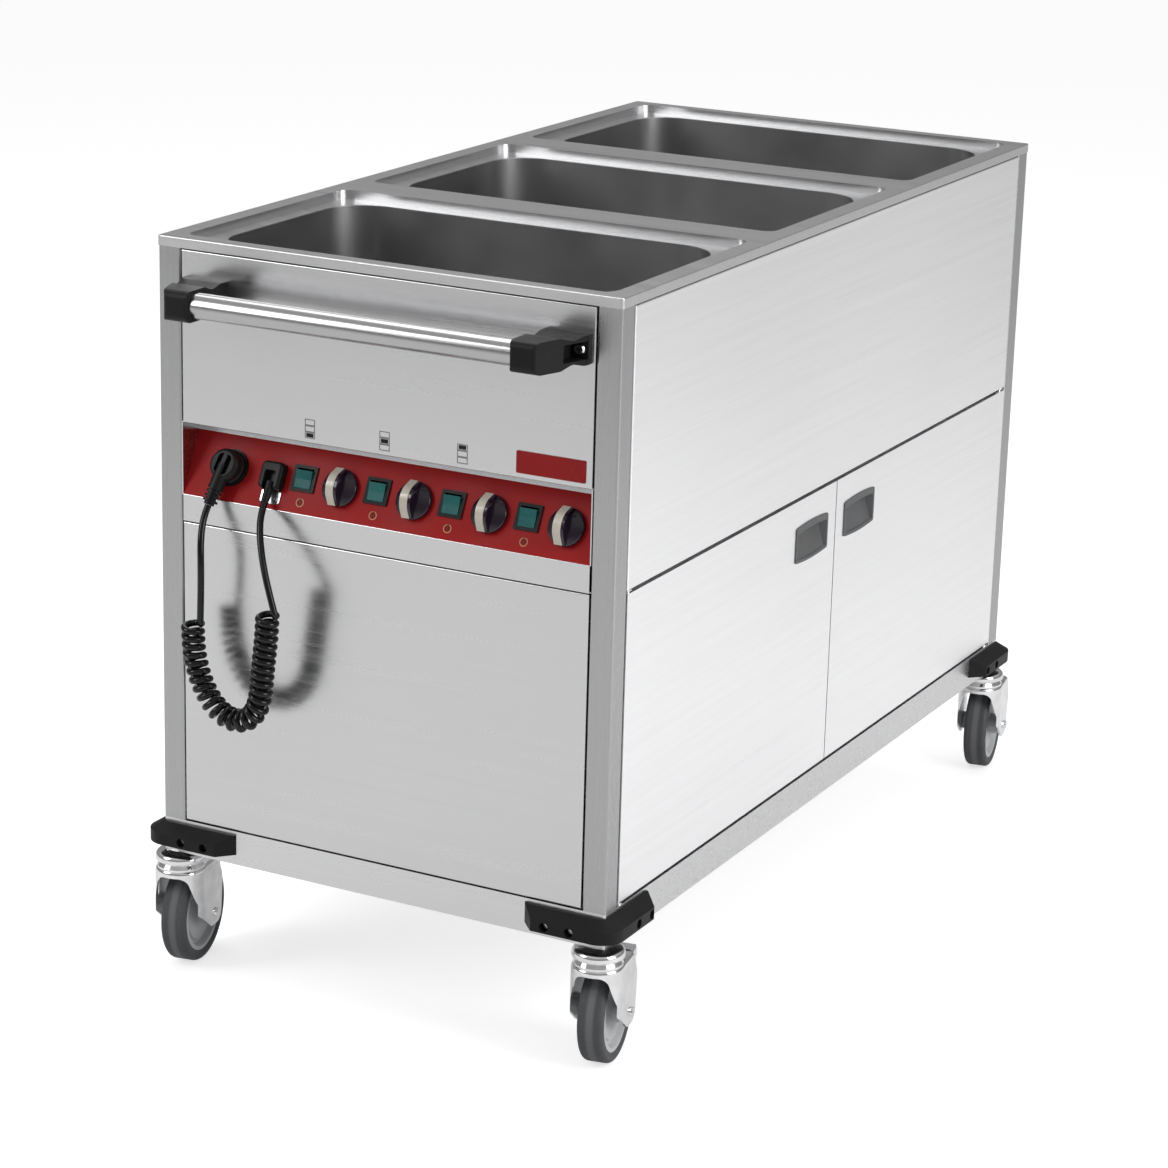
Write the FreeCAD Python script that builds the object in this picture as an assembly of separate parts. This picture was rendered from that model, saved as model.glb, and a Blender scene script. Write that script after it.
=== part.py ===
import FreeCAD, Part
import math
import os

# A mobile hot-food trolley: three sunk wells over a heated cupboard, on four swivel castors.
# Millimetres.  The floor is z = 0 and the origin is under the middle of the trolley.
# +X is the side with the cupboard doors, -Y the end with the push bar and the controls.

V = FreeCAD.Vector
X_AXIS = V(1, 0, 0)
Y_AXIS = V(0, 1, 0)
Z_AXIS = V(0, 0, 1)

# ---- driving dimensions: body -------------------------------------------------------------
body_width = 600.0          # X, over the deck
body_length = 1200.0        # Y, over the deck
deck_height = 905.0         # floor to the top of the deck
face_inset = 1.0            # posts and panels stand this far inside the edge of the deck
post_side = 30.0
post_wall = 1.5
post_corner = 3.0           # radius of a post's edges
sheet = 1.2                 # stainless sheet of the panels, the doors and the tanks
fold_depth = 18.0           # folded edge of a panel

# ---- deck and wells -----------------------------------------------------------------------
well_count = 3
well_pitch = 407.0
recess_width = 552.0        # X, sunk surround of a well
recess_length = 346.0       # Y
recess_depth = 10.5
recess_corner = 15.0
well_width = 512.0          # X, opening for a full-size gastronorm pan
well_length = 306.0         # Y
well_corner = 57.0
well_depth = 200.0
well_floor_radius = 20.0
well_flange = 11.0
deck_corner = 4.0
deck_edge_radius = 1.2

# ---- heights of the bands on the faces ----------------------------------------------------
castor_height = 155.0
rail_height = 42.0
rail_depth = 35.0
rail_wall = 2.0
corner_arm = 97.0           # a corner piece reaches this far along each face
panel_drop = 216.0          # top of the deck to the top of the slanted control panel
slant_rise = 86.5
strip_height = 31.5         # flat strip below the slanted panel
panel_seam = 1.5            # open seam between a panel and its neighbours
bend_radius = 1.5
slant_setback = 42.5        # how far its upper edge lies behind its lower edge
overlay_height = 79.0       # up the slope
overlay_thickness = 0.6
cheek = 1.5

# ---- controls, placed by x and by distance up the slope ------------------------------------
control_count = 4
control_pitch = 97.5
first_switch_x = -112.0
switch_up = 41.5
switch_side = 31.0
switch_rim = 2.0
switch_window_x = 22.6
switch_window_s = 23.6
switch_body = 27.0
switch_body_depth = 20.0
switch_pocket = 9.0
rocker_fit = 0.8            # rocker's side gap in the window
rocker_tilt = 8.0           # degrees each way from level
rocker_pivot_depth = 4.0
rocker_pin_radius = 1.5
rocker_edge = 4.6           # top of a rocker's raised edges
rocker_valley = 3.8
rocker_below = 3.0          # rocker below its pivot
first_knob_x = -62.0
knob_up = 37.8
knob_radius = 22.5
knob_height = 24.0
knob_gap = 1.0
knob_bar_width = 13.0
knob_dome = 10.5            # height of the knob's dome
knob_bar_end = 9.0          # height of the grip bar at its ends
spindle_radius = 3.0
spindle_grip = 12.0         # the spindle's length inside the knob
running_fit = 0.05          # radial clearance of a shaft in its hole
bush_radius = 5.0
hole_clearance = 0.3
thermostat_side = 34.0
thermostat_depth = 18.0
socket_x = -211.0
socket_up = 40.0
socket_radius = 22.0
socket_rim = 3.0
socket_body_radius = 18.0
socket_depth = 24.0
gland_x = -151.0
gland_up = 38.0
gland_side = 29.0
gland_tall = 33.0
gland_depth = 13.0
sleeve_length = 20.0
plug_radius = 20.0
plug_height = 19.0
plug_turn = 11.0            # degrees, its neck towards -X
plug_grip = 12.0            # half length of the grip sunk in its top
plug_grip_depth = 5.0
plug_pin_offset = 9.5
plug_pin_radius = 2.4
plug_pin_length = 19.0
plug_neck_height = 11.5     # neck's middle above the plug's face
plug_neck_end = 50.0        # plug's middle to the neck's tip
plug_neck_radius = 9.5
plug_neck_length = 31.0
plug_rib_radius = 9.0
plug_rib_pitch = 5.5
plug_rib_count = 3

# ---- screws -------------------------------------------------------------------------------
screw_head_radius = 5.0
screw_shank_radius = 2.5
screw_head = 3.0

# ---- push bar -----------------------------------------------------------------------------
bar_radius = 15.0
bar_wall = 1.5
bar_reach = 61.0            # from the panel's face to the bar's middle
bar_drop = 60.0             # top of the deck to the bar's middle
bracket_x = 206.0           # inner face of a bracket
bracket_width = 31.0        # at its front
bracket_rim = 18.0          # bracket above and below the bar's middle
bracket_front = 20.0        # bracket beyond the bar's middle
bracket_corner = 9.0
bar_socket = 20.0           # the bar's length inside a bracket
pad_width = 56.0            # bracket at the panel
pad_thickness = 12.0
pad_half_height = 16.5
waist_reach = 28.0          # panel to the narrow waist of a bracket
waist_half_height = 12.5
bracket_screw_x = 251.5
bracket_screw_radius = 6.5
pocket_reach = 41.0         # panel to the front of the screw's pocket
pocket_half_height = 10.0
pocket_x = 241.0

# ---- corner bumpers -----------------------------------------------------------------------
bumper_arm = 103.0
bumper_drop = 4.5           # top of the rail to the top of a bumper
bumper_height = 25.0
bumper_slope = 10.0         # height of the sloped top
bumper_lip = 4.0            # thickness left at the top of the slope
bumper_thickness = 20.0
bumper_taper = 18.0
bumper_radius = 28.0
bumper_hole_pitch = 32.0
bumper_first_holes = (36.0, 47.0)   # along X, along Y

# ---- doors --------------------------------------------------------------------------------
door_thickness = 18.0
door_gap = 4.0              # above and below a door
door_side_gap = 2.0         # at the post
door_seam = 1.0             # half the gap between the doors
pan_depth = 8.0
pin_radius = 3.0
pin_from_face = 5.0
pin_from_edge = 8.0
pin_head_radius = 5.0
pin_head = 2.0
pin_engagement = 10.0
cup_width = 94.0
cup_height = 42.0
cup_arch = 4.0
cup_depth = 13.0
cup_rim = 2.5
cup_rim_thickness = 0.8
cup_from_seam = 72.0        # seam between the doors to the middle of a cup
cup_drop = 57.0             # top of a door to the middle of its cup
cup_wall = 1.2
cup_draft = 7.0

# ---- cupboard -----------------------------------------------------------------------------
liner_gap = 3.0             # behind the doors, for their back edges as they swing
liner_side = 568.5          # half the liner's length
liner_back = 268.0
shelf_height = 385.0
shelf_lip = 15.0
runner_leg = 20.0
element_radius = 4.25
heater_pitch = 60.0
heater_half_run = 150.0
element_flat = 0.8

# ---- castors ------------------------------------------------------------------------------
castor_inset = 15.0         # swivel axis from the deck's edge
castor_trail = 33.0
castor_turn = 10.0          # degrees, from +Y towards -X
wheel_radius = 62.5
tyre_width = 32.0
tyre_depth = 13.0
tyre_shoulder = 6.0
hub_width = 55.0
hub_boss_radius = 12.0
hub_web = 12.0
axle_radius = 4.0
axle_head_radius = 6.0
axle_head = 3.0
fork_inner = 28.0
fork_sheet = 3.0
fork_top = 134.0
fork_shoulder = 6.0
fork_foot_radius = 14.0
fork_hood = 46.0            # the hood's height at its front
arch_apron = 9.0            # hood left above the arched opening
arch_half_width = 18.0
arch_corner = 13.0
head_radius = 31.0
head_gap = 0.6
race_height = 6.5
kingpin_radius = 6.0
stem_radius = 10.0
stem_length = 36.0
pedal_pivot_u = 39.0
pedal_pivot_z = 119.0
pedal_pin_radius = 2.5
pedal_press = 10.0          # degrees from free to braked
pedal_sheet = 3.0
pedal_half_width = 26.0
pedal_end_half_width = 17.0
pedal_end = 86.0
shoe_gap = 0.5

# ---- mains lead ---------------------------------------------------------------------------
cord_radius = 4.0
curl_radius = 10.2          # middle of the wire to the middle of the coil
curl_count = 28
curl_lead_in = 8.0
cord_step = 8.0             # straight run where the coil meets a plain stretch

# The plain stretches and the coil's own middle line, as points chosen along the real lead.
plug_lead_route = [(-220.54, -616.56, 601.01), (-222.83, -621.75, 590.44), (-221.3, -630.5, 572.5),
                   (-218.2, -636.8, 556.0), (-216.0, -639.8, 537.5), (-215.4, -640.8, 517.0),
                   (-216.2, -640.3, 494.5), (-217.6, -639.4, 471.0)]
gland_lead_route = [(-150.0, -604.45, 616.8), (-149.0, -616.7, 601.0), (-141.6, -630.3, 582.5),
                    (-132.6, -640.3, 562.0), (-123.2, -647.8, 541.5), (-114.2, -653.0, 522.5),
                    (-106.4, -656.2, 504.5)]
coil_route = [(-228.0, -639.0, 436.0), (-223.2, -639.2, 411.5), (-214.2, -639.8, 389.0),
              (-200.8, -641.0, 370.6), (-183.0, -643.0, 358.5), (-162.0, -645.8, 356.0),
              (-143.0, -648.8, 363.8), (-130.3, -651.6, 380.5), (-124.8, -653.4, 401.0),
              (-122.2, -654.4, 423.5), (-119.2, -655.2, 447.0), (-115.5, -656.0, 472.0)]

# ---- worked out from the above --------------------------------------------------------------
half_width = body_width / 2
half_length = body_length / 2
face_x = half_width - face_inset
face_y = half_length - face_inset
post_x = face_x - post_side
post_y = face_y - post_side
under_deck = deck_height - recess_depth - sheet
rail_top = castor_height + rail_height
slant_top = deck_height - panel_drop
slant_bottom = slant_top - slant_rise
band_height = slant_bottom - strip_height   # top of the doors' band and of the lower end panel
bar_height = deck_height - bar_drop
slope_length = math.hypot(slant_setback, slant_rise)
slope_angle = math.degrees(math.atan2(slant_rise, slant_setback))
slope_place = FreeCAD.Placement(V(0, -face_y, slant_bottom), FreeCAD.Rotation(X_AXIS, slope_angle))
door_face = face_x
door_back = face_x - door_thickness
door_low = rail_top + door_gap
door_high = band_height - door_gap
door_outer = post_y - door_side_gap
cup_centre_height = door_high - cup_drop
pin_x = door_face - pin_from_face
pin_y = door_outer - pin_from_edge
liner_front = door_back - liner_gap
castor_x = half_width - castor_inset
castor_y = half_length - castor_inset


# ---- helpers --------------------------------------------------------------------------------
def box(x0, x1, y0, y1, z0, z1):
    return Part.makeBox(x1 - x0, y1 - y0, z1 - z0, V(x0, y0, z0))


def outline(points, place):
    """A closed wire through (a, b, radius) corners, each corner rounded by a tangent arc."""
    count = len(points)
    corners = []
    for i in range(count):
        a, b, radius = points[i]
        before = points[i - 1]
        after = points[(i + 1) % count]
        to_before = V(before[0] - a, before[1] - b, 0).normalize()
        to_after = V(after[0] - a, after[1] - b, 0).normalize()
        here = V(a, b, 0)
        if radius <= 0:
            corners.append((here, None, here))
            continue
        half = to_before.getAngle(to_after) / 2
        reach = radius / math.tan(half)
        middle = (to_before + to_after).normalize()
        centre = here + middle * (radius / math.sin(half))
        corners.append((here + to_before * reach, centre - middle * radius, here + to_after * reach))
    edges = []
    for i in range(count):
        start, mid, end = corners[i]
        if mid is not None:
            arc = Part.Arc(place(start.x, start.y), place(mid.x, mid.y), place(end.x, end.y))
            edges.append(arc.toShape())
        following = corners[(i + 1) % count][0]
        if (following - end).Length > 1e-6:
            edges.append(Part.makeLine(place(end.x, end.y), place(following.x, following.y)))
    return Part.Wire(edges)


def plan(height):
    return lambda a, b: V(a, b, height)


def across_x(x):
    return lambda a, b: V(x, a, b)


def across_y(y):
    return lambda a, b: V(a, y, b)


def prism(points, place, direction):
    return Part.Face(outline(points, place)).extrude(direction)


def slab(x0, x1, y0, y1, z0, z1, radius):
    corners = [(x0, y0, radius), (x1, y0, radius), (x1, y1, radius), (x0, y1, radius)]
    return prism(corners, plan(z0), V(0, 0, z1 - z0))


def ring(points, base, axis):
    """A solid of revolution from (distance from axis, height along axis, radius) corners."""
    side = Y_AXIS if abs(axis.y) < 0.5 else X_AXIS
    turned = Part.Face(outline(points, lambda a, b: base + side * a + axis * b))
    return turned.revolve(base, axis, 360)


def cylinder(radius, start, end):
    along = end - start
    return Part.makeCylinder(radius, along.Length, start, along)


def tray(lo, hi, axis, sign, depth_wall=sheet):
    """A folded panel: the box from lo to hi, hollow, and open towards sign * axis."""
    inner_lo = [value + depth_wall for value in lo]
    inner_hi = [value - depth_wall for value in hi]
    if sign > 0:
        inner_hi[axis] = hi[axis] + 1
    else:
        inner_lo[axis] = lo[axis] - 1
    outer = box(lo[0], hi[0], lo[1], hi[1], lo[2], hi[2])
    inner = box(inner_lo[0], inner_hi[0], inner_lo[1], inner_hi[1], inner_lo[2], inner_hi[2])
    return outer.cut(inner)


def panel(lo, hi, axis, sign, whole_side=None):
    """A tray set in by a seam, with a return flange at its back that reaches its neighbours.

    whole_side is the index of an axis; the low side along it has no seam.
    """
    near = [lo[i] + (0 if i in (axis, whole_side) else panel_seam) for i in range(3)]
    far = [hi[i] - (0 if i == axis else panel_seam) for i in range(3)]
    front = lo[axis] if sign > 0 else hi[axis]
    outer = box(near[0], far[0], near[1], far[1], near[2], far[2])
    bends = [edge for edge in outer.Edges if lies_at(edge, axis, front)]
    body = outer.makeFillet(bend_radius, bends)
    rim_lo = list(lo)
    rim_hi = list(hi)
    if sign > 0:
        rim_lo[axis] = hi[axis] - sheet
    else:
        rim_hi[axis] = lo[axis] + sheet
    body = body.fuse(box(rim_lo[0], rim_hi[0], rim_lo[1], rim_hi[1], rim_lo[2], rim_hi[2]))
    inner_lo = [value + sheet for value in near]
    inner_hi = [value - sheet for value in far]
    if sign > 0:
        inner_hi[axis] = hi[axis] + 1
    else:
        inner_lo[axis] = lo[axis] - 1
    body = body.cut(box(inner_lo[0], inner_hi[0], inner_lo[1], inner_hi[1], inner_lo[2], inner_hi[2]))
    return body.removeSplitter()


def lies_at(edge, axis, place):
    """Whether a whole edge lies in the plane at place along an axis."""
    return all(abs(vertex.Point[axis] - place) < 0.01 for vertex in edge.Vertexes)


def moved(shape, placement):
    copy = shape.copy()
    copy.Placement = placement.multiply(copy.Placement)
    return copy


def on_slope(shape):
    """Take a shape from (x, up the slope, out of the slope) to its place on the control panel."""
    return moved(shape, slope_place)


def mirrored_y(shape):
    return shape.mirror(V(0, 0, 0), Y_AXIS)


def save(name, shapes):
    shape = shapes if isinstance(shapes, Part.Shape) else Part.makeCompound(shapes)
    if not shape.isValid():
        print("NOT VALID", name)
    shape.exportStep("parts/" + name + ".step")
    made[name] = shape


def four_corners():
    return [(sx, sy) for sx in (-1, 1) for sy in (-1, 1)]


def well_middles():
    return [(i - (well_count - 1) / 2) * well_pitch for i in range(well_count)]


# ---- deck and wells -------------------------------------------------------------------------
def deck_top():
    """Pressed top with a folded skirt and a sunk, cut-out surround for each well."""
    deck = slab(-half_width, half_width, -half_length, half_length, under_deck, deck_height, deck_corner)
    top_edges = [edge for edge in deck.Edges if edge.BoundBox.ZMin > deck_height - 0.01]
    deck = deck.makeFillet(deck_edge_radius, top_edges)
    hollow = slab(sheet - half_width, half_width - sheet, sheet - half_length, half_length - sheet,
                  under_deck - 1, deck_height - sheet, deck_corner - sheet)
    for middle in well_middles():
        hollow = hollow.cut(well_plan(middle, recess_width + 2 * sheet, recess_length + 2 * sheet,
                                      recess_corner + sheet, under_deck - 2, deck_height))
    deck = deck.cut(hollow)
    for middle in well_middles():
        deck = deck.cut(well_plan(middle, recess_width, recess_length, recess_corner,
                                  deck_height - recess_depth, deck_height + 1))
        deck = deck.cut(well_plan(middle, well_width, well_length, well_corner,
                                  under_deck - 1, deck_height))
    return deck


def well_plan(middle, width, length, corner, low, high):
    return slab(-width / 2, width / 2, middle - length / 2, middle + length / 2, low, high, corner)


def well_tank(middle):
    """Deep-drawn tank with a rounded floor, hung by its flange under the deck."""
    floor = under_deck - well_depth
    outer = well_plan(middle, well_width + 2 * sheet, well_length + 2 * sheet, well_corner + sheet,
                      floor - sheet, under_deck)
    low_edges = [edge for edge in outer.Edges if edge.BoundBox.ZMax < floor]
    outer = outer.makeFillet(well_floor_radius + sheet, low_edges)
    inner = well_plan(middle, well_width, well_length, well_corner, floor, under_deck + 1)
    low_edges = [edge for edge in inner.Edges if edge.BoundBox.ZMax < floor + 0.01]
    inner = inner.makeFillet(well_floor_radius, low_edges)
    flange = well_plan(middle, well_width + 2 * well_flange, well_length + 2 * well_flange,
                       well_corner + well_flange, under_deck - sheet, under_deck)
    return outer.fuse(flange).cut(inner).removeSplitter()


def serpentine(middle, run_pitch, half_run, height, flat_side):
    """A tubular element of three runs, pressed flat on the side where it touches the sheet."""
    tube = None
    for i in (-1, 0, 1):
        y = middle + i * run_pitch
        run = cylinder(element_radius, V(-half_run, y, height), V(half_run, y, height))
        tube = run if tube is None else tube.fuse(run)
    for side in (-1, 1):
        start = V(side * half_run, middle, height)
        section = Part.Face(Part.Wire([Part.Circle(start, X_AXIS, element_radius).toShape()]))
        bend = section.revolve(start + V(0, side * run_pitch / 2, 0), Z_AXIS, 180)
        tube = tube.fuse(bend)
    reach_x = half_run + run_pitch
    reach_y = 2 * run_pitch
    contact = height + flat_side * (element_radius - element_flat)
    beyond = contact + flat_side * element_radius
    return tube.cut(box(-reach_x, reach_x, middle - reach_y, middle + reach_y,
                        min(contact, beyond), max(contact, beyond)))


def well_heaters():
    height = under_deck - well_depth - sheet - element_radius + element_flat
    run_pitch = (well_length - 2 * well_floor_radius) / 3
    half_run = well_width / 2 - well_floor_radius - run_pitch
    return [serpentine(middle, run_pitch, half_run, height, 1) for middle in well_middles()]


# ---- frame and panels -----------------------------------------------------------------------
def corner_posts():
    posts = []
    for sx, sy in four_corners():
        xs = sorted((sx * face_x, sx * post_x))
        ys = sorted((sy * face_y, sy * post_y))
        post = slab(xs[0], xs[1], ys[0], ys[1], rail_top, under_deck, post_corner)
        bore = slab(xs[0] + post_wall, xs[1] - post_wall, ys[0] + post_wall, ys[1] - post_wall,
                    rail_top - 1, under_deck + 1, post_corner - post_wall)
        posts.append(post.cut(bore))
    return posts


def base_frame():
    """Four box-section rails, and four corner pieces with the sockets for the castor stems."""
    pieces = []
    for sign in (-1, 1):
        xs = sorted((sign * face_x, sign * (face_x - rail_depth)))
        ys = sorted((sign * face_y, sign * (face_y - rail_depth)))
        reach_x = face_x - corner_arm
        reach_y = face_y - corner_arm
        spans = ((xs[0], xs[1], -reach_y, reach_y, 1), (-reach_x, reach_x, ys[0], ys[1], 0))
        for x0, x1, y0, y1, along in spans:
            rail = box(x0, x1, y0, y1, castor_height, rail_top)
            margin_x = rail_wall if along == 1 else -1
            margin_y = rail_wall if along == 0 else -1
            bore = box(x0 + margin_x, x1 - margin_x, y0 + margin_y, y1 - margin_y,
                       castor_height + rail_wall, rail_top - rail_wall)
            pieces.append(rail.cut(bore))
    for sx, sy in four_corners():
        pieces.append(base_corner(sx, sy))
    return pieces


def corner_plan(sx, sy, grow, low, high, radius):
    """The L-shaped plan of a corner piece, drawn in by grow from its faces."""
    far = corner_arm + (0 if grow == 0 else 1)
    points = [(grow, grow, radius), (far, grow, 0), (far, rail_depth - grow, 0),
              (rail_depth - grow, rail_depth - grow, 0), (rail_depth - grow, far, 0), (grow, far, 0)]
    place = [(sx * (face_x - a), sy * (face_y - b), r) for a, b, r in points]
    return prism(place, plan(low), V(0, 0, high - low))


def base_corner(sx, sy):
    shell = corner_plan(sx, sy, 0, castor_height, rail_top, post_corner)
    shell = shell.cut(corner_plan(sx, sy, rail_wall, castor_height + rail_wall, rail_top - rail_wall, 1.0))
    foot = V(sx * castor_x, sy * castor_y, castor_height)
    socket = cylinder(stem_radius + rail_wall, foot, foot + V(0, 0, stem_length))
    return shell.fuse(socket).cut(cylinder(stem_radius, foot - V(0, 0, 1), foot + V(0, 0, stem_length)))


def upper_end_panel():
    """Panel under the push bar; its bottom fold runs back to the top of the slanted panel."""
    front = panel((-post_x, -face_y, slant_top), (post_x, -face_y + fold_depth, under_deck), 1, 1, 2)
    ceiling = box(-post_x, post_x, -face_y + bend_radius, -face_y + slant_setback, slant_top, slant_top + sheet)
    return front.fuse(ceiling).removeSplitter()


def control_cuts():
    """Every hole through the slanted panel, as (x, up the slope, out) solids."""
    cuts = []
    for i in range(control_count):
        x = first_switch_x + i * control_pitch
        half = switch_body / 2 + hole_clearance
        cuts.append(box(x - half, x + half, switch_up - half, switch_up + half, -5, 5))
        x = first_knob_x + i * control_pitch
        cuts.append(cylinder(bush_radius + hole_clearance, V(x, knob_up, -5), V(x, knob_up, 5)))
    for x, up, radius in ((socket_x, socket_up, socket_body_radius), (gland_x, gland_up, cord_radius)):
        cuts.append(cylinder(radius + hole_clearance, V(x, up, -5), V(x, up, 5)))
    return cuts


def control_housing():
    """Folded front of the control box: a flat strip, the slanted panel and its two cheeks."""
    run = slant_setback / slope_length
    rise = slant_rise / slope_length
    back = V(0, rise * sheet, -run * sheet)
    shift = sheet * (1 - run) / rise
    section = [(-face_y, band_height, 0), (-face_y, slant_bottom, 0),
               (-face_y + slant_setback, slant_top, 0),
               (-face_y + slant_setback + back.y, slant_top + back.z, 0),
               (-face_y + sheet, slant_bottom + shift - sheet / rise + run * sheet / rise, 0),
               (-face_y + sheet, band_height + sheet, 0), (-face_y + fold_depth, band_height + sheet, 0),
               (-face_y + fold_depth, band_height, 0)]
    shell = prism(section, across_x(-post_x), V(2 * post_x, 0, 0))
    for sign in (-1, 1):
        wedge = [(-face_y, slant_bottom, 0), (-face_y + slant_setback, slant_top, 0), (-face_y, slant_top, 0)]
        x = post_x - cheek if sign > 0 else -post_x
        shell = shell.fuse(prism(wedge, across_x(x), V(cheek, 0, 0)))
    for cut in control_cuts():
        shell = shell.cut(on_slope(cut))
    for x in (-post_x - 1, post_x - panel_seam):
        shell = shell.cut(box(x, x + panel_seam + 1, -face_y - 1, -face_y + bend_radius,
                              band_height - 1, slant_bottom))
    return shell.removeSplitter()


def control_overlay():
    plate = box(-post_x + cheek, post_x - cheek, 0.5, overlay_height, 0, overlay_thickness)
    for cut in control_cuts():
        plate = plate.cut(cut)
    return on_slope(plate)


def lower_end_panel():
    return panel((-post_x, -face_y, rail_top), (post_x, -face_y + fold_depth, band_height), 1, 1)


def rear_end_panel():
    return panel((-post_x, face_y - fold_depth, rail_top), (post_x, face_y, under_deck), 1, -1)


def upper_side_panel():
    return panel((liner_front, -post_y, band_height), (face_x, post_y, under_deck), 0, -1, 2)


def far_side_panel():
    return panel((-face_x, -post_y, rail_top), (-face_x + fold_depth, post_y, under_deck), 0, 1)


# ---- cupboard -------------------------------------------------------------------------------
def cupboard_liner():
    """Inner box of the cupboard, open towards the doors, with a frame behind their edges."""
    roof = band_height
    liner = tray((-liner_back, -liner_side, rail_top), (liner_front, liner_side, roof), 0, 1)
    frame = box(liner_front - sheet, liner_front, -liner_side, liner_side, rail_top, roof + 9)
    window = box(liner_front - 2 * sheet, liner_front + 1, -liner_side + 9, liner_side - 9,
                 rail_top + 9, roof - 9)
    return liner.fuse(frame.cut(window)).removeSplitter()


def shelf_span():
    return liner_side - sheet


def cupboard_shelf():
    lo = (-liner_back + sheet, -shelf_span(), shelf_height - shelf_lip)
    hi = (liner_front - 20, shelf_span(), shelf_height)
    return tray(lo, hi, 2, -1)


def shelf_runners():
    """Two angles on the end walls of the cupboard, under the lips of the shelf."""
    runners = []
    for sign in (-1, 1):
        top = shelf_height - shelf_lip
        ys = sorted((sign * shelf_span(), sign * (shelf_span() - runner_leg)))
        leg = box(-liner_back + 20, liner_front - 30, ys[0], ys[1], top - sheet, top)
        ys = sorted((sign * shelf_span(), sign * (shelf_span() - sheet)))
        runners.append(leg.fuse(box(-liner_back + 20, liner_front - 30, ys[0], ys[1], top - runner_leg, top)))
    return runners


def cupboard_heater():
    height = rail_top + sheet + element_radius - element_flat
    return serpentine(0.0, heater_pitch, heater_half_run, height, -1)


# ---- doors ----------------------------------------------------------------------------------
def cup_plan(inset, x):
    """Outline of a pull cup: straight sides, and a bowed top and bottom."""
    half_w = cup_width / 2 - inset
    half_h = cup_height / 2 - inset
    middle = cup_from_seam
    z = cup_centre_height
    a = V(x, middle - half_w, z - half_h)
    b = V(x, middle + half_w, z - half_h)
    c = V(x, middle + half_w, z + half_h)
    d = V(x, middle - half_w, z + half_h)
    low = Part.Arc(a, V(x, middle, z - half_h - cup_arch), b).toShape()
    high = Part.Arc(c, V(x, middle, z + half_h + cup_arch), d).toShape()
    return Part.Wire([low, Part.makeLine(b, c), high, Part.makeLine(d, a)])


def door_skin():
    """Outer skin of the rear door; the front door is its mirror image."""
    skin = tray((door_back, door_seam, door_low), (door_face, door_outer, door_high), 0, -1)
    skin = skin.cut(Part.Face(cup_plan(cup_wall, door_face - cup_depth)).extrude(V(cup_depth + 1, 0, 0)))
    bore = cylinder(pin_radius + running_fit, V(pin_x, pin_y, door_low - 1), V(pin_x, pin_y, door_high + 1))
    return skin.cut(bore)


def door_pan():
    lo = (door_back, door_seam + sheet, door_low + sheet)
    hi = (door_back + pan_depth, door_outer - sheet, door_high - sheet)
    pan = tray(lo, hi, 0, 1)
    return pan


def pull_cup():
    rim = Part.Face(cup_plan(-cup_rim, door_face)).extrude(V(cup_rim_thickness, 0, 0))
    body = Part.makeLoft([cup_plan(cup_wall, door_face), cup_plan(cup_draft, door_face - cup_depth)], True, True)
    hollow = Part.makeLoft([cup_plan(2 * cup_wall, door_face + cup_rim_thickness),
                            cup_plan(cup_draft + cup_wall, door_face - cup_depth + cup_wall)], True, True)
    return rim.fuse(body).cut(hollow).removeSplitter()


def hinge_pins():
    pins = []
    for sign in (-1, 1):
        for seat, up in ((rail_top, 1), (band_height, -1)):
            base = V(pin_x, sign * pin_y, seat)
            head = cylinder(pin_head_radius, base, base + V(0, 0, up * pin_head))
            shank = cylinder(pin_radius, base, base + V(0, 0, up * (door_gap + pin_engagement)))
            pins.append(head.fuse(shank))
    return pins


# ---- controls -------------------------------------------------------------------------------
def thermostats():
    pieces = []
    for i in range(control_count):
        x = first_knob_x + i * control_pitch
        half = thermostat_side / 2
        case = box(x - half, x + half, knob_up - half, knob_up + half, -sheet - thermostat_depth, -sheet)
        bush = cylinder(bush_radius, V(x, knob_up, -sheet), V(x, knob_up, overlay_thickness))
        bore = cylinder(spindle_radius + running_fit, V(x, knob_up, 2 - sheet - thermostat_depth),
                        V(x, knob_up, overlay_thickness + 1))
        pieces.append(on_slope(case.fuse(bush).cut(bore)))
    return pieces


def heat_knob(index):
    """Domed knob with a grip bar across it, and the spindle that it sits on."""
    x = first_knob_x + index * control_pitch
    base = overlay_thickness + knob_gap
    foot = V(x, knob_up, 0)
    profile = [(0, base, 0), (knob_radius, base, 0.8), (knob_radius, base + 4.5, 3),
               (knob_radius - 9, base + knob_dome - 1.5, 30), (0, base + knob_dome, 0)]
    dome = ring(profile, foot, Z_AXIS)
    arch = knob_radius * 0.4
    side = [(knob_up - knob_radius, base + 3, 0), (knob_up + knob_radius, base + 3, 0),
            (knob_up + knob_radius, knob_bar_end, 0), (knob_up + arch, knob_height, 19),
            (knob_up - arch, knob_height, 19), (knob_up - knob_radius, knob_bar_end, 0)]
    bar = prism(side, across_x(x - knob_bar_width / 2), V(knob_bar_width, 0, 0))
    bar = bar.common(cylinder(knob_radius - 0.7, V(x, knob_up, 0), V(x, knob_up, knob_height)))
    seat = V(x, knob_up, 3 - sheet - thermostat_depth)
    tip = V(x, knob_up, base + spindle_grip)
    spindle = cylinder(spindle_radius, seat, tip)
    knob = dome.fuse(bar).cut(cylinder(spindle_radius, foot, tip)).removeSplitter()
    return [on_slope(knob), on_slope(spindle)]


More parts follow.
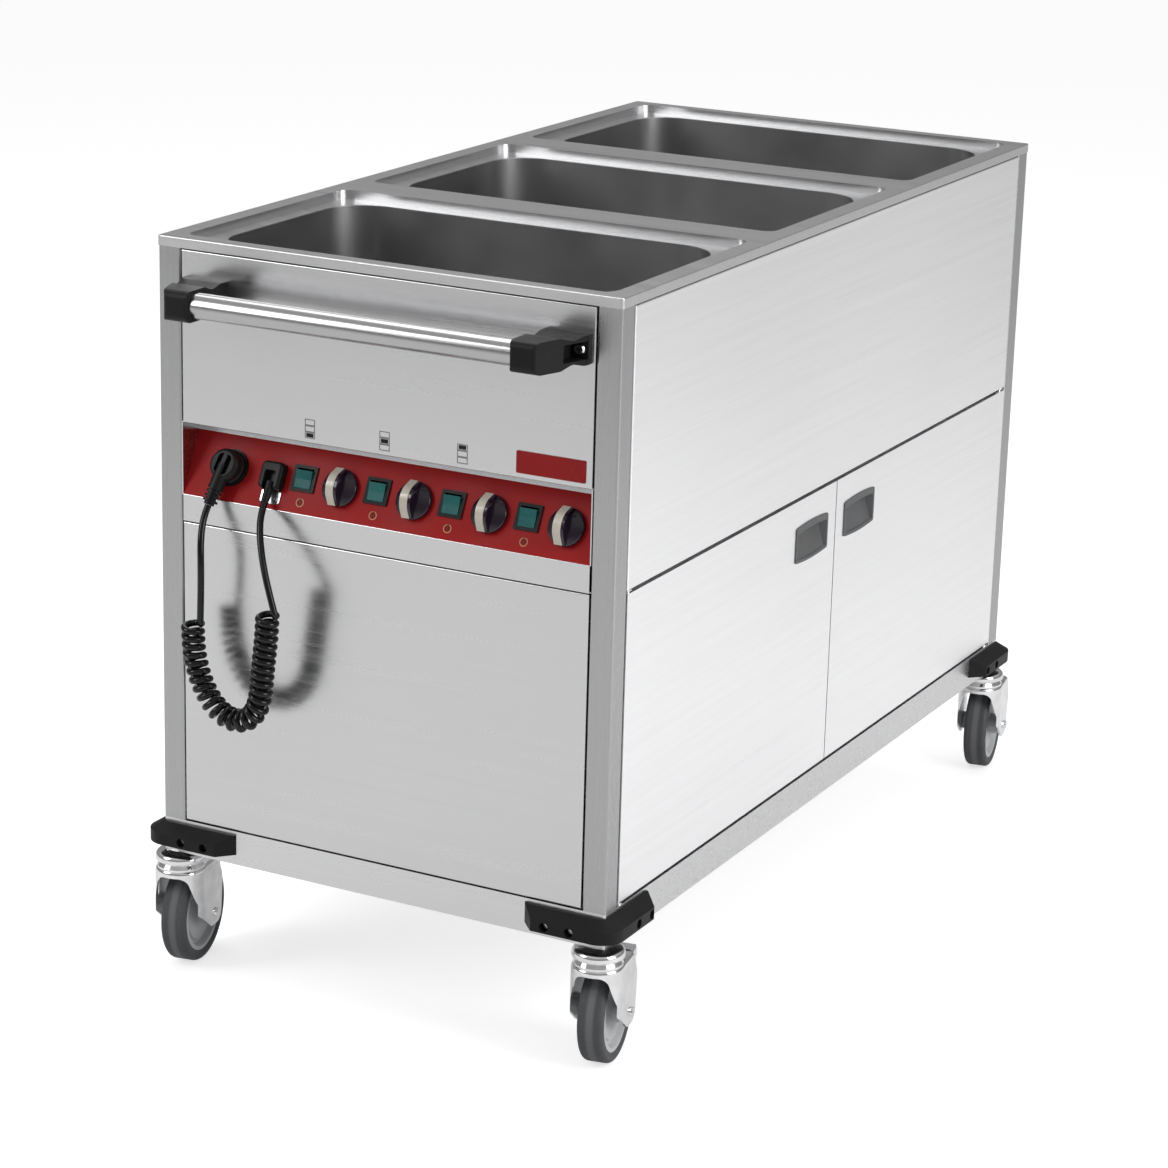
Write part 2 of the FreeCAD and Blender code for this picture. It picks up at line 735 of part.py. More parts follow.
def switch_frames():
    """Square bezels with the switch bodies behind them; each holds a rocker on two pins."""
    pieces = []
    for i in range(control_count):
        x = first_switch_x + i * control_pitch
        top = overlay_thickness + switch_rim
        side = switch_side / 2
        rim = slab(x - side, x + side, switch_up - side, switch_up + side, overlay_thickness, top, 1.5)
        side = switch_body / 2
        body = box(x - side, x + side, switch_up - side, switch_up + side, -switch_body_depth, overlay_thickness)
        pocket = box(x - switch_window_x / 2, x + switch_window_x / 2, switch_up - switch_window_s / 2,
                     switch_up + switch_window_s / 2, -switch_pocket, top + 1)
        reach = switch_window_x / 2 + 1.2
        pivot = cylinder(rocker_pin_radius + running_fit, V(x - reach, switch_up, -rocker_pivot_depth),
                         V(x + reach, switch_up, -rocker_pivot_depth))
        pieces.append(on_slope(rim.fuse(body).cut(pocket).cut(pivot)))
    return pieces


def rocker(index):
    """Rocker with a shallow V face, tilted to its ON side, on two short pins."""
    x = first_switch_x + index * control_pitch
    half_x = switch_window_x / 2 - rocker_fit
    half_s = switch_window_s / 2 - rocker_fit - 0.4
    low = -rocker_pivot_depth - rocker_below
    section = [(switch_up - half_s, low, 1), (switch_up + half_s, low, 1), (switch_up + half_s, rocker_edge, 0.8),
               (switch_up, rocker_valley, 0), (switch_up - half_s, rocker_edge, 0.8)]
    body = prism(section, across_x(x - half_x), V(2 * half_x, 0, 0))
    reach = switch_window_x / 2 + 1
    pivot = V(x, switch_up, -rocker_pivot_depth)
    body = body.fuse(cylinder(rocker_pin_radius, pivot - V(reach, 0, 0), pivot + V(reach, 0, 0)))
    body.rotate(pivot, X_AXIS, rocker_tilt)
    return on_slope(body)


def parking_socket():
    """Dummy socket that the plug is parked in: a rim, and a body with two pin holes."""
    foot = V(socket_x, socket_up, 0)
    top = overlay_thickness + socket_rim
    rim = cylinder(socket_radius, foot + V(0, 0, overlay_thickness), foot + V(0, 0, top))
    body = cylinder(socket_body_radius, foot - V(0, 0, socket_depth), foot + V(0, 0, overlay_thickness))
    socket = rim.fuse(body)
    for side in (-1, 1):
        turn = math.radians(plug_turn)
        hole = foot + V(side * plug_pin_offset * math.cos(turn), -side * plug_pin_offset * math.sin(turn), top)
        socket = socket.cut(cylinder(plug_pin_radius + hole_clearance, hole - V(0, 0, plug_pin_length + 1),
                                     hole + V(0, 0, 1)))
    return on_slope(socket)


def mains_plug():
    """Angled plug: flanged base, domed body with a grip ridge, and a ribbed neck."""
    seat = V(socket_x, socket_up, overlay_thickness + socket_rim)
    profile = [(0, 0, 0), (plug_radius, 0, 0), (plug_radius, 5, 1), (plug_radius - 1.2, 6, 0),
               (plug_radius - 1.2, plug_height, 5), (0, plug_height, 0)]
    body = ring(profile, seat, Z_AXIS)
    neck_start = seat + V(0, 0, plug_neck_height)
    profile = [(0, 0, 0), (plug_neck_radius, 0, 0), (plug_neck_radius - 0.5, plug_neck_length, 0),
               (0, plug_neck_length, 0)]
    body = body.fuse(ring(profile, neck_start, -Y_AXIS))
    core = cylinder(cord_radius + 2.2, neck_start, neck_start - V(0, plug_neck_end, 0))
    body = body.fuse(core)
    for i in range(plug_rib_count):
        start = neck_start - V(0, plug_neck_end - 1 - (i + 1) * plug_rib_pitch, 0)
        body = body.fuse(cylinder(plug_rib_radius, start, start - V(0, plug_rib_pitch - 2.5, 0)))
    top = seat.z + plug_height
    sunk = slab(socket_x - 9, socket_x + 9, socket_up - plug_grip, socket_up + plug_grip,
                top - plug_grip_depth, top + 1, 5)
    fin = slab(socket_x - 2.5, socket_x + 2.5, socket_up - plug_grip, socket_up + plug_grip,
               top - plug_grip_depth - 1, top + 1, 2)
    body = body.cut(sunk).fuse(fin)
    for side in (-1, 1):
        pin = seat + V(side * plug_pin_offset, 0, 0)
        body = body.fuse(cylinder(plug_pin_radius, pin - V(0, 0, plug_pin_length), pin))
    body = body.removeSplitter()
    body.rotate(seat, Z_AXIS, -plug_turn)
    return on_slope(body)


def cord_gland():
    """Moulded hood over the lead's entry, with a short sleeve that the lead leaves by."""
    half = gland_side / 2
    top = overlay_thickness + gland_depth
    tall = gland_tall / 2
    hood = slab(gland_x - half, gland_x + half, gland_up - tall, gland_up + tall, overlay_thickness, top, 6)
    hood = hood.makeFillet(3.5, [edge for edge in hood.Edges if edge.BoundBox.ZMin > top - 0.01])
    hood = hood.fuse(cylinder(cord_radius, V(gland_x, gland_up, -6), V(gland_x, gland_up, overlay_thickness)))
    hood = on_slope(hood)
    tip = V(*gland_lead_route[0])
    direction = unit(V(*gland_lead_route[1]) - tip)
    root = tip - direction * sleeve_length
    sleeve = Part.makeCone(cord_radius + 2.0, cord_radius + 1.0, sleeve_length, root, direction)
    return hood.fuse(sleeve)


# ---- push bar, screws and bumpers -----------------------------------------------------------
def bar_middle():
    return -face_y - bar_reach


def handle_tube():
    reach = bracket_x + bar_socket
    tube = cylinder(bar_radius, V(-reach, bar_middle(), bar_height), V(reach, bar_middle(), bar_height))
    return tube.cut(cylinder(bar_radius - bar_wall, V(-reach - 1, bar_middle(), bar_height),
                             V(reach + 1, bar_middle(), bar_height)))


def bracket_seat(sign):
    return V(sign * bracket_screw_x, -face_y - pad_thickness / 2, bar_height)


def handle_brackets():
    """Moulded arms that hold the bar: waisted in height, and flared out to a pocket for the screw."""
    brackets = []
    front = bar_middle() - bracket_front
    rear = -face_y
    block = rear - waist_reach - 16
    for sign in (-1, 1):
        side = [(rear, bar_height - pad_half_height, 0), (rear, bar_height + pad_half_height, 0),
                (rear - pad_thickness, bar_height + pad_half_height, 4),
                (rear - waist_reach, bar_height + waist_half_height, 12),
                (block, bar_height + bracket_rim, 8), (front, bar_height + bracket_rim, bracket_corner),
                (front, bar_height - bracket_rim, bracket_corner), (block, bar_height - bracket_rim, 8),
                (rear - waist_reach, bar_height - waist_half_height, 12),
                (rear - pad_thickness, bar_height - pad_half_height, 4)]
        arm = prism(side, across_x(-half_width), V(body_width, 0, 0))
        flare = [(sign * bracket_x, rear, 0), (sign * bracket_x, front, 3),
                 (sign * (bracket_x + bracket_width), front, 7),
                 (sign * (bracket_x + pad_width), rear - pad_thickness / 2, 3),
                 (sign * (bracket_x + pad_width), rear, 0)]
        arm = arm.common(prism(flare, plan(bar_height - 2 * bracket_rim), V(0, 0, 4 * bracket_rim)))
        bore_from = V(sign * (bracket_x - 1), bar_middle(), bar_height)
        arm = arm.cut(cylinder(bar_radius, bore_from, bore_from + V(sign * (bar_socket + 1), 0, 0)))
        seat = bracket_seat(sign)
        xs = sorted((sign * pocket_x, sign * half_width))
        arm = arm.cut(box(xs[0], xs[1], rear - pocket_reach, seat.y,
                          bar_height - pocket_half_height, bar_height + pocket_half_height))
        arm = arm.cut(cylinder(screw_shank_radius, seat, seat + V(0, pad_thickness, 0)))
        brackets.append(arm.removeSplitter())
    return brackets


def screw(seat, inward, length, radius=screw_head_radius):
    """Pan-head screw with its head on the seat and its shank going inward."""
    profile = [(0, 0, 0), (radius, 0, 0), (radius, 1, 0), (radius - 1.5, screw_head, 0), (0, screw_head, 0)]
    head = ring(profile, seat, -inward)
    return head.fuse(cylinder(screw_shank_radius, seat, seat + inward * length))


def bumper_plan(sx, sy, cut_back, height):
    """Plan of a bumper: an L round the corner of the body, tapered at the ends of its arms."""
    out = bumper_thickness - cut_back
    flat = bumper_arm - bumper_taper + cut_back
    points = [(0, 0, post_corner), (bumper_arm, 0, 0), (flat, -out, 3), (-out, -out, bumper_radius - cut_back),
              (-out, flat, 3), (0, bumper_arm, 0)]
    return outline([(sx * (face_x - a), sy * (face_y - b), r) for a, b, r in points], plan(height))


def bumper_holes():
    """(along the arm, which arm) of every screw in one bumper."""
    return [(bumper_first_holes[arm] + i * bumper_hole_pitch, arm) for arm in (0, 1) for i in range(2)]


def bumper_hole(sx, sy, along, arm):
    """Where a bumper's screw seats, and the direction into the rail."""
    height = rail_top - bumper_drop - (bumper_height + bumper_slope) / 2
    if arm == 0:
        return V(sx * (face_x - along), sy * (face_y + bumper_thickness / 2), height), V(0, -sy, 0)
    return V(sx * (face_x + bumper_thickness / 2), sy * (face_y - along), height), V(-sx, 0, 0)


def bumpers():
    pieces = []
    top = rail_top - bumper_drop
    low = top - bumper_height
    shoulder = top - bumper_slope
    for sx, sy in four_corners():
        block = Part.Face(bumper_plan(sx, sy, 0, low)).extrude(V(0, 0, shoulder - low))
        slope = Part.makeLoft([bumper_plan(sx, sy, 0, shoulder),
                               bumper_plan(sx, sy, bumper_thickness - bumper_lip, top)], True, True)
        block = block.fuse(slope)
        for along, arm in bumper_holes():
            seat, inward = bumper_hole(sx, sy, along, arm)
            block = block.cut(cylinder(screw_head_radius + 0.5, seat, seat - inward * bumper_thickness))
            block = block.cut(cylinder(screw_shank_radius, seat, seat + inward * bumper_thickness))
        pieces.append(block.removeSplitter())
    return pieces


def cover_screws():
    pieces = []
    for sign in (-1, 1):
        pieces.append(screw(bracket_seat(sign), Y_AXIS, pad_thickness / 2, bracket_screw_radius))
    for sx, sy in four_corners():
        for along, arm in bumper_holes():
            seat, inward = bumper_hole(sx, sy, along, arm)
            pieces.append(screw(seat, inward, bumper_thickness / 2))
    return pieces


# ---- castors: (along the trail, across, up) with the swivel axis at the origin ----------------
def castor_place(sx, sy):
    turn = FreeCAD.Rotation(Z_AXIS, 90 + castor_turn)
    return FreeCAD.Placement(V(sx * castor_x, sy * castor_y, 0), turn)


def castor_stem():
    """Stem, domed upper race and kingpin, turned as one."""
    low = fork_top + race_height + head_gap
    pin_low = fork_top - fork_sheet - head_gap - 3
    profile = [(0, pin_low, 0), (kingpin_radius + 3, pin_low, 0), (kingpin_radius + 3, pin_low + 3, 0),
               (kingpin_radius, pin_low + 3, 0), (kingpin_radius, low, 0), (head_radius, low, 2.5),
               (head_radius, low + 10, 7), (stem_radius + 6, castor_height, 0),
               (stem_radius, castor_height, 0), (stem_radius, castor_height + stem_length, 0),
               (0, castor_height + stem_length, 0)]
    return ring(profile, V(0, 0, 0), Z_AXIS)


def hood_block(grow, low, high, shoulder):
    """Round-nosed block of the fork's plan, drawn in by grow, with its top edge rounded."""
    half = fork_inner + fork_sheet - grow
    nose = half - 0.5
    far = castor_trail + 40 + grow
    block = prism([(-half, -half, nose), (far, -half, 0), (far, half, 0), (-half, half, nose)],
                  plan(low), V(0, 0, high - low))
    rim = [edge for edge in block.Edges if lies_at(edge, 2, high) and edge.BoundBox.XMin < far - 0.01]
    return block.makeFillet(shoulder, rim)


def castor_fork():
    """Pressed fork: a round-nosed hood over the wheel, arched at its front, with raked legs."""
    outer = fork_inner + fork_sheet
    low = 20.0
    hood = hood_block(0, low, fork_top, fork_shoulder)
    hood = hood.cut(hood_block(fork_sheet, low - 1, fork_top - fork_sheet, fork_shoulder - fork_sheet))
    foot = wheel_radius - fork_foot_radius
    foot_round = fork_foot_radius * 0.95
    side = [(-outer - 1, fork_top + 1, 0), (-outer - 1, fork_top - fork_hood, 22),
            (castor_trail - fork_foot_radius, foot, foot_round), (castor_trail + fork_foot_radius, foot, foot_round),
            (castor_trail + fork_foot_radius + 6, fork_top - 30, 25), (castor_trail + 6, fork_top + 1, 0)]
    fork = hood.common(prism(side, across_y(-60), V(0, 120, 0)))
    arch = [(-fork_inner, low, 0), (-fork_inner, fork_top - fork_hood, 0),
            (-arch_half_width, fork_top - arch_apron, arch_corner),
            (arch_half_width, fork_top - arch_apron, arch_corner),
            (fork_inner, fork_top - fork_hood, 0), (fork_inner, low, 0)]
    fork = fork.cut(prism(arch, across_x(-outer - 1), V(outer + 1, 0, 0)))
    race = ring([(kingpin_radius, fork_top - fork_sheet, 0), (head_radius - 2, fork_top - fork_sheet, 0),
                 (head_radius - 2, fork_top + 1, 0), (head_radius - 5, fork_top + race_height, 2),
                 (kingpin_radius, fork_top + race_height, 0)], V(0, 0, 0), Z_AXIS)
    fork = fork.fuse(race)
    bore = kingpin_radius + running_fit
    fork = fork.cut(cylinder(bore, V(0, 0, fork_top - 10), V(0, 0, fork_top + race_height + 1)))
    reach = outer + 5
    axle = V(castor_trail, 0, wheel_radius)
    fork = fork.cut(cylinder(axle_radius, axle - V(0, reach, 0), axle + V(0, reach, 0)))
    return fork.removeSplitter()


def pedal_pivot_holes(fork):
    pivot = V(pedal_pivot_u, 0, pedal_pivot_z)
    return fork.cut(cylinder(pedal_pin_radius + running_fit, pivot - V(0, 60, 0), pivot + V(0, 60, 0)))


def axle_bolt():
    outer = fork_inner + fork_sheet
    centre = V(castor_trail, 0, wheel_radius)
    bolt = cylinder(axle_radius, centre - V(0, outer, 0), centre + V(0, outer, 0))
    for side in (-1, 1):
        head = [(0, outer, 0), (axle_head_radius, outer, 0), (axle_head_radius - 1, outer + axle_head, 0),
                (0, outer + axle_head, 0)]
        bolt = bolt.fuse(ring(head, centre, V(0, side, 0)))
    return bolt


def wheel_hub():
    """Moulded hub with a groove in its web, and bosses that reach the fork."""
    inner = wheel_radius - tyre_depth
    bore = axle_radius + running_fit
    rim_half = tyre_width / 2 - 2
    half = []
    for b in (1, -1):
        side = [(bore, b * hub_width / 2, 0), (hub_boss_radius, b * hub_width / 2, 0),
                (hub_boss_radius + 3, b * hub_web, 0), (inner - 14, b * (hub_web - 2), 0),
                (inner - 12, b * (hub_web - 5), 0), (inner - 7, b * (hub_web - 5), 0),
                (inner - 5, b * rim_half, 0), (inner, b * rim_half, 0)]
        half.append(side)
    profile = half[0] + half[1][::-1]
    return ring(profile, V(castor_trail, 0, wheel_radius), Y_AXIS)


def wheel_tyre():
    inner = wheel_radius - tyre_depth
    half = tyre_width / 2
    profile = [(inner, -half + 2, 0), (wheel_radius - 7, -half, 0), (wheel_radius, -half + 0.5, tyre_shoulder),
               (wheel_radius, half - 0.5, tyre_shoulder), (wheel_radius - 7, half, 0), (inner, half - 2, 0)]
    return ring(profile, V(castor_trail, 0, wheel_radius), Y_AXIS)


def brake_pedal():
    """Pedal drawn pressed on, then turned back to its free position."""
    pivot = V(pedal_pivot_u, 0, pedal_pivot_z)
    plate = [(50, 127, 0), (pedal_end - 12, 118, 6), (pedal_end, 107, 0), (pedal_end + 2, 109, 0),
             (pedal_end - 9, 121.5, 8), (50, 130.5, 0)]
    pedal = prism(plate, across_y(-pedal_half_width), V(0, 2 * pedal_half_width, 0))
    tread = [(45, -pedal_half_width, 0), (64, -pedal_half_width, 4), (pedal_end + 3, -pedal_end_half_width, 0),
             (pedal_end + 3, pedal_end_half_width, 0), (64, pedal_half_width, 4), (45, pedal_half_width, 0)]
    pedal = pedal.common(prism(tread, plan(90), V(0, 0, 60)))
    ear = [(pedal_pivot_u - 5, pedal_pivot_z - 5, 4.5), (pedal_pivot_u + 6, pedal_pivot_z - 5, 4.5),
           (62, 118, 2), (62, 127.5, 0), (50, 129, 0), (pedal_pivot_u - 4, pedal_pivot_z + 6, 4.5)]
    ear_in = fork_inner - 1 - pedal_sheet
    for side in (-1, 1):
        y = ear_in if side > 0 else -ear_in - pedal_sheet
        pedal = pedal.fuse(prism(ear, across_y(y), V(0, pedal_sheet, 0)))
        pin = cylinder(pedal_pin_radius, pivot + V(0, side * ear_in, 0),
                       pivot + V(0, side * (fork_inner + fork_sheet), 0))
        pedal = pedal.fuse(pin)
    shoe = box(52, 66, -ear_in - 0.5, ear_in + 0.5, 100, 126.5)
    centre = V(castor_trail, 0, wheel_radius)
    shoe = shoe.cut(cylinder(wheel_radius + shoe_gap, centre - V(0, 40, 0), centre + V(0, 40, 0)))
    pedal = pedal.fuse(shoe).removeSplitter()
    pedal.rotate(pivot, Y_AXIS, -pedal_press)
    return pedal


# ---- mains lead -----------------------------------------------------------------------------
def unit(vector):
    copy = V(vector)
    return copy.normalize()


def corner_radius(before, here, after):
    """Largest tangent arc at a point of a route, as 0.45 of its shorter run allows."""
    turn = (here - before).getAngle(after - here)
    run = min((here - before).Length, (after - here).Length)
    return 0.45 * run / math.tan(turn / 2), math.degrees(turn)


def soft_route(route, name):
    """Straight runs joined by tangent arcs, as one wire, and its printed radii."""
    points = [V(*point) for point in route]
    edges = []
    last = points[0]
    report = []
    for i in range(1, len(points) - 1):
        here = points[i]
        back = unit(points[i - 1] - here)
        onward = unit(points[i + 1] - here)
        radius, turn = corner_radius(points[i - 1], here, points[i + 1])
        reach = radius * math.tan(math.radians(turn) / 2)
        start = here + back * reach
        end = here + onward * reach
        middle = unit(back + onward)
        centre = here + middle * math.hypot(radius, reach)
        edges.append(Part.LineSegment(last, start).toShape())
        edges.append(Part.Arc(start, centre - middle * radius, end).toShape())
        last = end
        report.append("%.0f mm at %.0f deg" % (radius, turn))
    edges.append(Part.LineSegment(last, points[-1]).toShape())
    print(name, "radii:", ", ".join(report))
    return Part.Wire(edges)


def tube_along(wire, start, direction, name):
    """A round tube along a wire, with its volume compared with its section times its length."""
    profile = Part.Wire([Part.Circle(start, direction, cord_radius).toShape()])
    maker = Part.BRepOffsetAPI.MakePipeShell(wire)
    maker.add(profile, False, False)
    maker.build()
    maker.makeSolid()
    tube = maker.shape()
    ideal = math.pi * cord_radius ** 2 * wire.Length
    print(name, "length %.1f mm, volume / (section * length) = %.4f" % (wire.Length, tube.Volume / ideal))
    return tube


def plain_lead(route, name):
    start = V(*route[0])
    return tube_along(soft_route(route, name), start, V(*route[1]) - start, name)


def coil_ends():
    """Where the coil's wire starts and ends, and the way that it points there."""
    into = unit(V(*plug_lead_route[-1]) - V(*plug_lead_route[-2]))
    out = unit(V(*gland_lead_route[-2]) - V(*gland_lead_route[-1]))
    return V(*plug_lead_route[-1]), into, V(*gland_lead_route[-1]), out


def coil_axis():
    """The coil's middle line: a smooth quadratic curve steered by the points of its route."""
    start, into, end, out = coil_ends()
    first = start + into * cord_step - X_AXIS * curl_radius
    last = end - out * cord_step - X_AXIS * curl_radius
    poles = [first] + [V(*point) for point in coil_route] + [last]
    spans = len(poles) - 2
    knots = [float(i) for i in range(spans + 1)]
    mults = [3] + [1] * (spans - 1) + [3]
    curve = Part.BSplineCurve()
    curve.buildFromPolesMultsKnots(poles, mults, knots, False, 2)
    return curve


def curl_frame(curve, where):
    """Point, tangent and two cross directions of the coil's middle line."""
    point = curve.value(where)
    tangent = unit(curve.tangent(where)[0])
    side = unit(tangent.cross(Y_AXIS))
    back = unit(side.cross(tangent))
    return point, tangent, side, back


def curl_stations():
    """Parameters on the middle line at each quarter curl, closer where the line bends less."""
    curve = coil_axis()
    length = curve.length()
    quarters = 4 * curl_count + 2
    pitch_low = 0.5 * length / curl_count
    pitch_high = 2.0 * length / curl_count
    for _ in range(40):
        pitch = (pitch_low + pitch_high) / 2
        places = [0.0, curl_lead_in]
        for i in range(quarters - 2):
            where = curve.parameterAtDistance(min(places[-1], length), curve.FirstParameter)
            bend = curve.curvature(where)
            places.append(places[-1] + pitch / 4 / (1 - curl_radius * bend))
        if places[-1] + curl_lead_in > length:
            pitch_high = pitch
        else:
            pitch_low = pitch
    places.append(length)
    return curve, places, pitch


def curly_points():
    """Points and directions of the wire at each half curl, the helix of the whole coil."""
    curve, places, pitch = curl_stations()
    length = curve.length()
    start, into, end, out = coil_ends()
    stations = [(start + into * cord_step, into)]
    last = len(places) - 1
    for i in range(1, last):
        if 1 < i < last - 1 and i % 2 == 0:
            continue
        angle = i * math.pi / 2
        rate = (places[i + 1] - places[i - 1]) / math.pi
        if i in (1, last - 1):
            rate = pitch / (2 * math.pi) * 1.6
        ends = []
        for nudge in (-0.02, 0.02):
            distance = min(max(places[i] + rate * nudge, 0.0), length)
            where = curve.parameterAtDistance(distance, curve.FirstParameter)
            point, tangent, side, back = curl_frame(curve, where)
            turn = angle + nudge
            ends.append(point + side * (curl_radius * math.cos(turn)) + back * (curl_radius * math.sin(turn)))
        stations.append(((ends[0] + ends[1]) * 0.5, unit(ends[1] - ends[0])))
    stations.append((end - out * cord_step, out))
    return stations


def arc_between(start, direction, end):
    """Arc that leaves start along direction and passes through end."""
    chord = end - start
    along = unit(chord)
    sideways = direction - along * direction.dot(along)
    if sideways.Length < 1e-6:
        return Part.LineSegment(start, end).toShape()
    bulge = chord.Length / 2 * math.tan(direction.getAngle(along) / 2)
    return Part.Arc(start, start + chord * 0.5 + unit(sideways) * bulge, end).toShape()


def biarc(start, start_way, end, end_way):
    """Two tangent arcs from one point and direction to another."""
    across = end - start
    ways = start_way + end_way
    spread = 2 * (1 - start_way.dot(end_way))
    reach = (-across.dot(ways) + math.sqrt(across.dot(ways) ** 2 + spread * across.dot(across))) / spread
    join = (start + start_way * reach + end - end_way * reach) * 0.5
    first = arc_between(start, start_way, join)
    back = arc_between(end, end_way * -1, join)
    middle = back.valueAt((back.FirstParameter + back.LastParameter) / 2)
    return [first, Part.Arc(join, middle, end).toShape()]


def least_self_gap(wire):
    """Smallest distance between two turns of the wire, less the wire's own diameter."""
    points = wire.discretize(Distance=1.2)
    skip = int(math.pi * curl_radius / 1.2)
    least = 1e9
    for i in range(len(points)):
        here = points[i]
        for j in range(i + skip, len(points)):
            apart = here.distanceToPoint(points[j])
            if apart < least:
                least = apart
    return least - 2 * cord_radius


def coiled_lead():
    """The curly stretch: one unbroken tube on biarcs, with straight ends."""
    start, into, end, out = coil_ends()
    stations = curly_points()
    edges = [Part.LineSegment(start, stations[0][0]).toShape()]
    for i in range(len(stations) - 1):
        edges += biarc(stations[i][0], stations[i][1], stations[i + 1][0], stations[i + 1][1])
    edges.append(Part.LineSegment(stations[-1][0], end).toShape())
    wire = Part.Wire(edges)
    tightest = min(edge.Curve.Radius for edge in edges if hasattr(edge.Curve, "Radius"))
    print("coiled_lead curls %d, tightest radius %.2f mm, least self gap %.2f mm"
          % (curl_count, tightest, least_self_gap(wire)))
    return tube_along(wire, start, into, "coiled_lead")


# ---- write every piece ------------------------------------------------------------------------
os.makedirs("parts", exist_ok=True)
made = {}
end_names = {-1: "front", 1: "rear"}
side_names = {-1: "left", 1: "right"}

save("deck_top", deck_top())
for name, middle in zip(("front", "middle", "rear"), well_middles()):
    save("well_tank_" + name, well_tank(middle))
save("well_heaters", well_heaters())
save("corner_posts", corner_posts())
save("base_frame", base_frame())
save("upper_end_panel", upper_end_panel())
save("control_housing", control_housing())
save("control_overlay", control_overlay())
save("lower_end_panel", lower_end_panel())
save("rear_end_panel", rear_end_panel())
save("upper_side_panel", upper_side_panel())
save("far_side_panel", far_side_panel())
save("cupboard_liner", cupboard_liner())
save("cupboard_shelf", cupboard_shelf())
save("shelf_runners", shelf_runners())
save("cupboard_heater", cupboard_heater())
save("thermostats", thermostats())
save("switch_frames", switch_frames())
save("parking_socket", parking_socket())
save("cord_gland", cord_gland())
save("plug", mains_plug())
save("handle_tube", handle_tube())
save("handle_brackets", handle_brackets())
save("bumpers", bumpers())
save("cover_screws", cover_screws())
save("hinge_pins", hinge_pins())
for sign, end in end_names.items():
    turned = (lambda shape: shape) if sign > 0 else mirrored_y
    save("door_skin_" + end, turned(door_skin()))
    save("door_pan_" + end, turned(door_pan()))
    save("pull_cup_" + end, turned(pull_cup()))
for i in range(control_count):
    save("heat_knob_%d" % (i + 1), heat_knob(i))
    save("rocker_%d" % (i + 1), rocker(i))
save("castor_stems", [moved(castor_stem(), castor_place(sx, sy)) for sx, sy in four_corners()])
for sx, sy in four_corners():
    corner = end_names[sy] + "_" + side_names[sx]
    fork = castor_fork()
    if sy < 0:
        fork = pedal_pivot_holes(fork)
        save("brake_pedal_" + side_names[sx], moved(brake_pedal(), castor_place(sx, sy)))
    save("castor_fork_" + corner, [moved(fork, castor_place(sx, sy)), moved(axle_bolt(), castor_place(sx, sy))])
    save("wheel_hub_" + corner, moved(wheel_hub(), castor_place(sx, sy)))
    save("wheel_tyre_" + corner, moved(wheel_tyre(), castor_place(sx, sy)))
save("lead_to_plug", plain_lead(plug_lead_route, "lead_to_plug"))
save("lead_to_gland", plain_lead(gland_lead_route, "lead_to_gland"))
save("coiled_lead", coiled_lead())

cord_pieces = ("plug", "lead_to_plug", "lead_to_gland", "coiled_lead")
dry = [shape for name, shape in made.items() if name not in cord_pieces]
bounds = Part.makeCompound(dry).BoundBox
print("pieces", len(made), "X %.1f %.1f  Y %.1f %.1f  Z %.1f %.1f"
      % (bounds.XMin, bounds.XMax, bounds.YMin, bounds.YMax, bounds.ZMin, bounds.ZMax))
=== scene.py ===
# %% [markdown]
# # A mobile hot-food trolley, dressed in its finishes
#
# The trolley's construction arrives as a fixed frame: every sheet, tank, castor and knob at its
# real size. This lesson gives each of them the finish of the real one, makes the curly mains lead
# as one long spline, and adds the small trim that is printed, stuck or moulded on.

# %% Load the frame
import math

import bmesh
import bpy
from mathutils import Matrix, Vector


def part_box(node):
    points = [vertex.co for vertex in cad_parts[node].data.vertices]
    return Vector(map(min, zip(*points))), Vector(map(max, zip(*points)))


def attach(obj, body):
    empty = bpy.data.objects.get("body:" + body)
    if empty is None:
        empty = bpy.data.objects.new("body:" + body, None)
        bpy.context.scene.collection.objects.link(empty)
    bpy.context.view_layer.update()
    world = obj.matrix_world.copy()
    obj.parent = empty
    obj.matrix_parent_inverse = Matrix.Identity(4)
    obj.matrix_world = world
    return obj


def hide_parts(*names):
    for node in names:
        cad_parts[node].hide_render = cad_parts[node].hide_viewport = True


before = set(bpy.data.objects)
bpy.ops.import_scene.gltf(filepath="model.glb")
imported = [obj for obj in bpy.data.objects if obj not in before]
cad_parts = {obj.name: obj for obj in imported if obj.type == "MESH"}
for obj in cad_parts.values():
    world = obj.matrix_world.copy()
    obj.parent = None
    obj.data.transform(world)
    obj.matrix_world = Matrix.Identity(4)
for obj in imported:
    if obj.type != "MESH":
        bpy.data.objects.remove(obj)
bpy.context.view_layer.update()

scene = bpy.context.scene
bpy.ops.object.select_all(action="DESELECT")

# %% [markdown]
# ## The camera
#
# A long lens stands well back from the trolley, a little above its deck, and looks at the corner
# between the control end and the door side. A camera could be aimed with a constraint, but a
# matrix built from the line of sight keeps the small roll of the picture too.


# %% Camera
def facing(x_way, y_way, z_way):
    """The turn that carries X, Y and Z onto these three directions."""
    return Matrix((x_way, y_way, z_way)).transposed().to_4x4()


camera_place = Vector((1.922, -3.781, 1.679))
line_of_sight = Vector((-0.4425, 0.8477, -0.2925)).normalized()
camera_roll = math.radians(1.534)
level = line_of_sight.cross(Vector((0, 0, 1))).normalized()
upright = level.cross(line_of_sight)
right = level * math.cos(camera_roll) + upright * math.sin(camera_roll)
up = upright * math.cos(camera_roll) - level * math.sin(camera_roll)

lens = bpy.data.cameras.new("camera")
lens.sensor_width = 36.0
lens.lens = 105.53
camera = bpy.data.objects.new("camera", lens)
scene.collection.objects.link(camera)
camera.matrix_world = Matrix.Translation(camera_place) @ facing(right, up, -line_of_sight)
scene.camera = camera
print("camera stands", round(camera_place.length, 2), "m from the foot of the trolley")

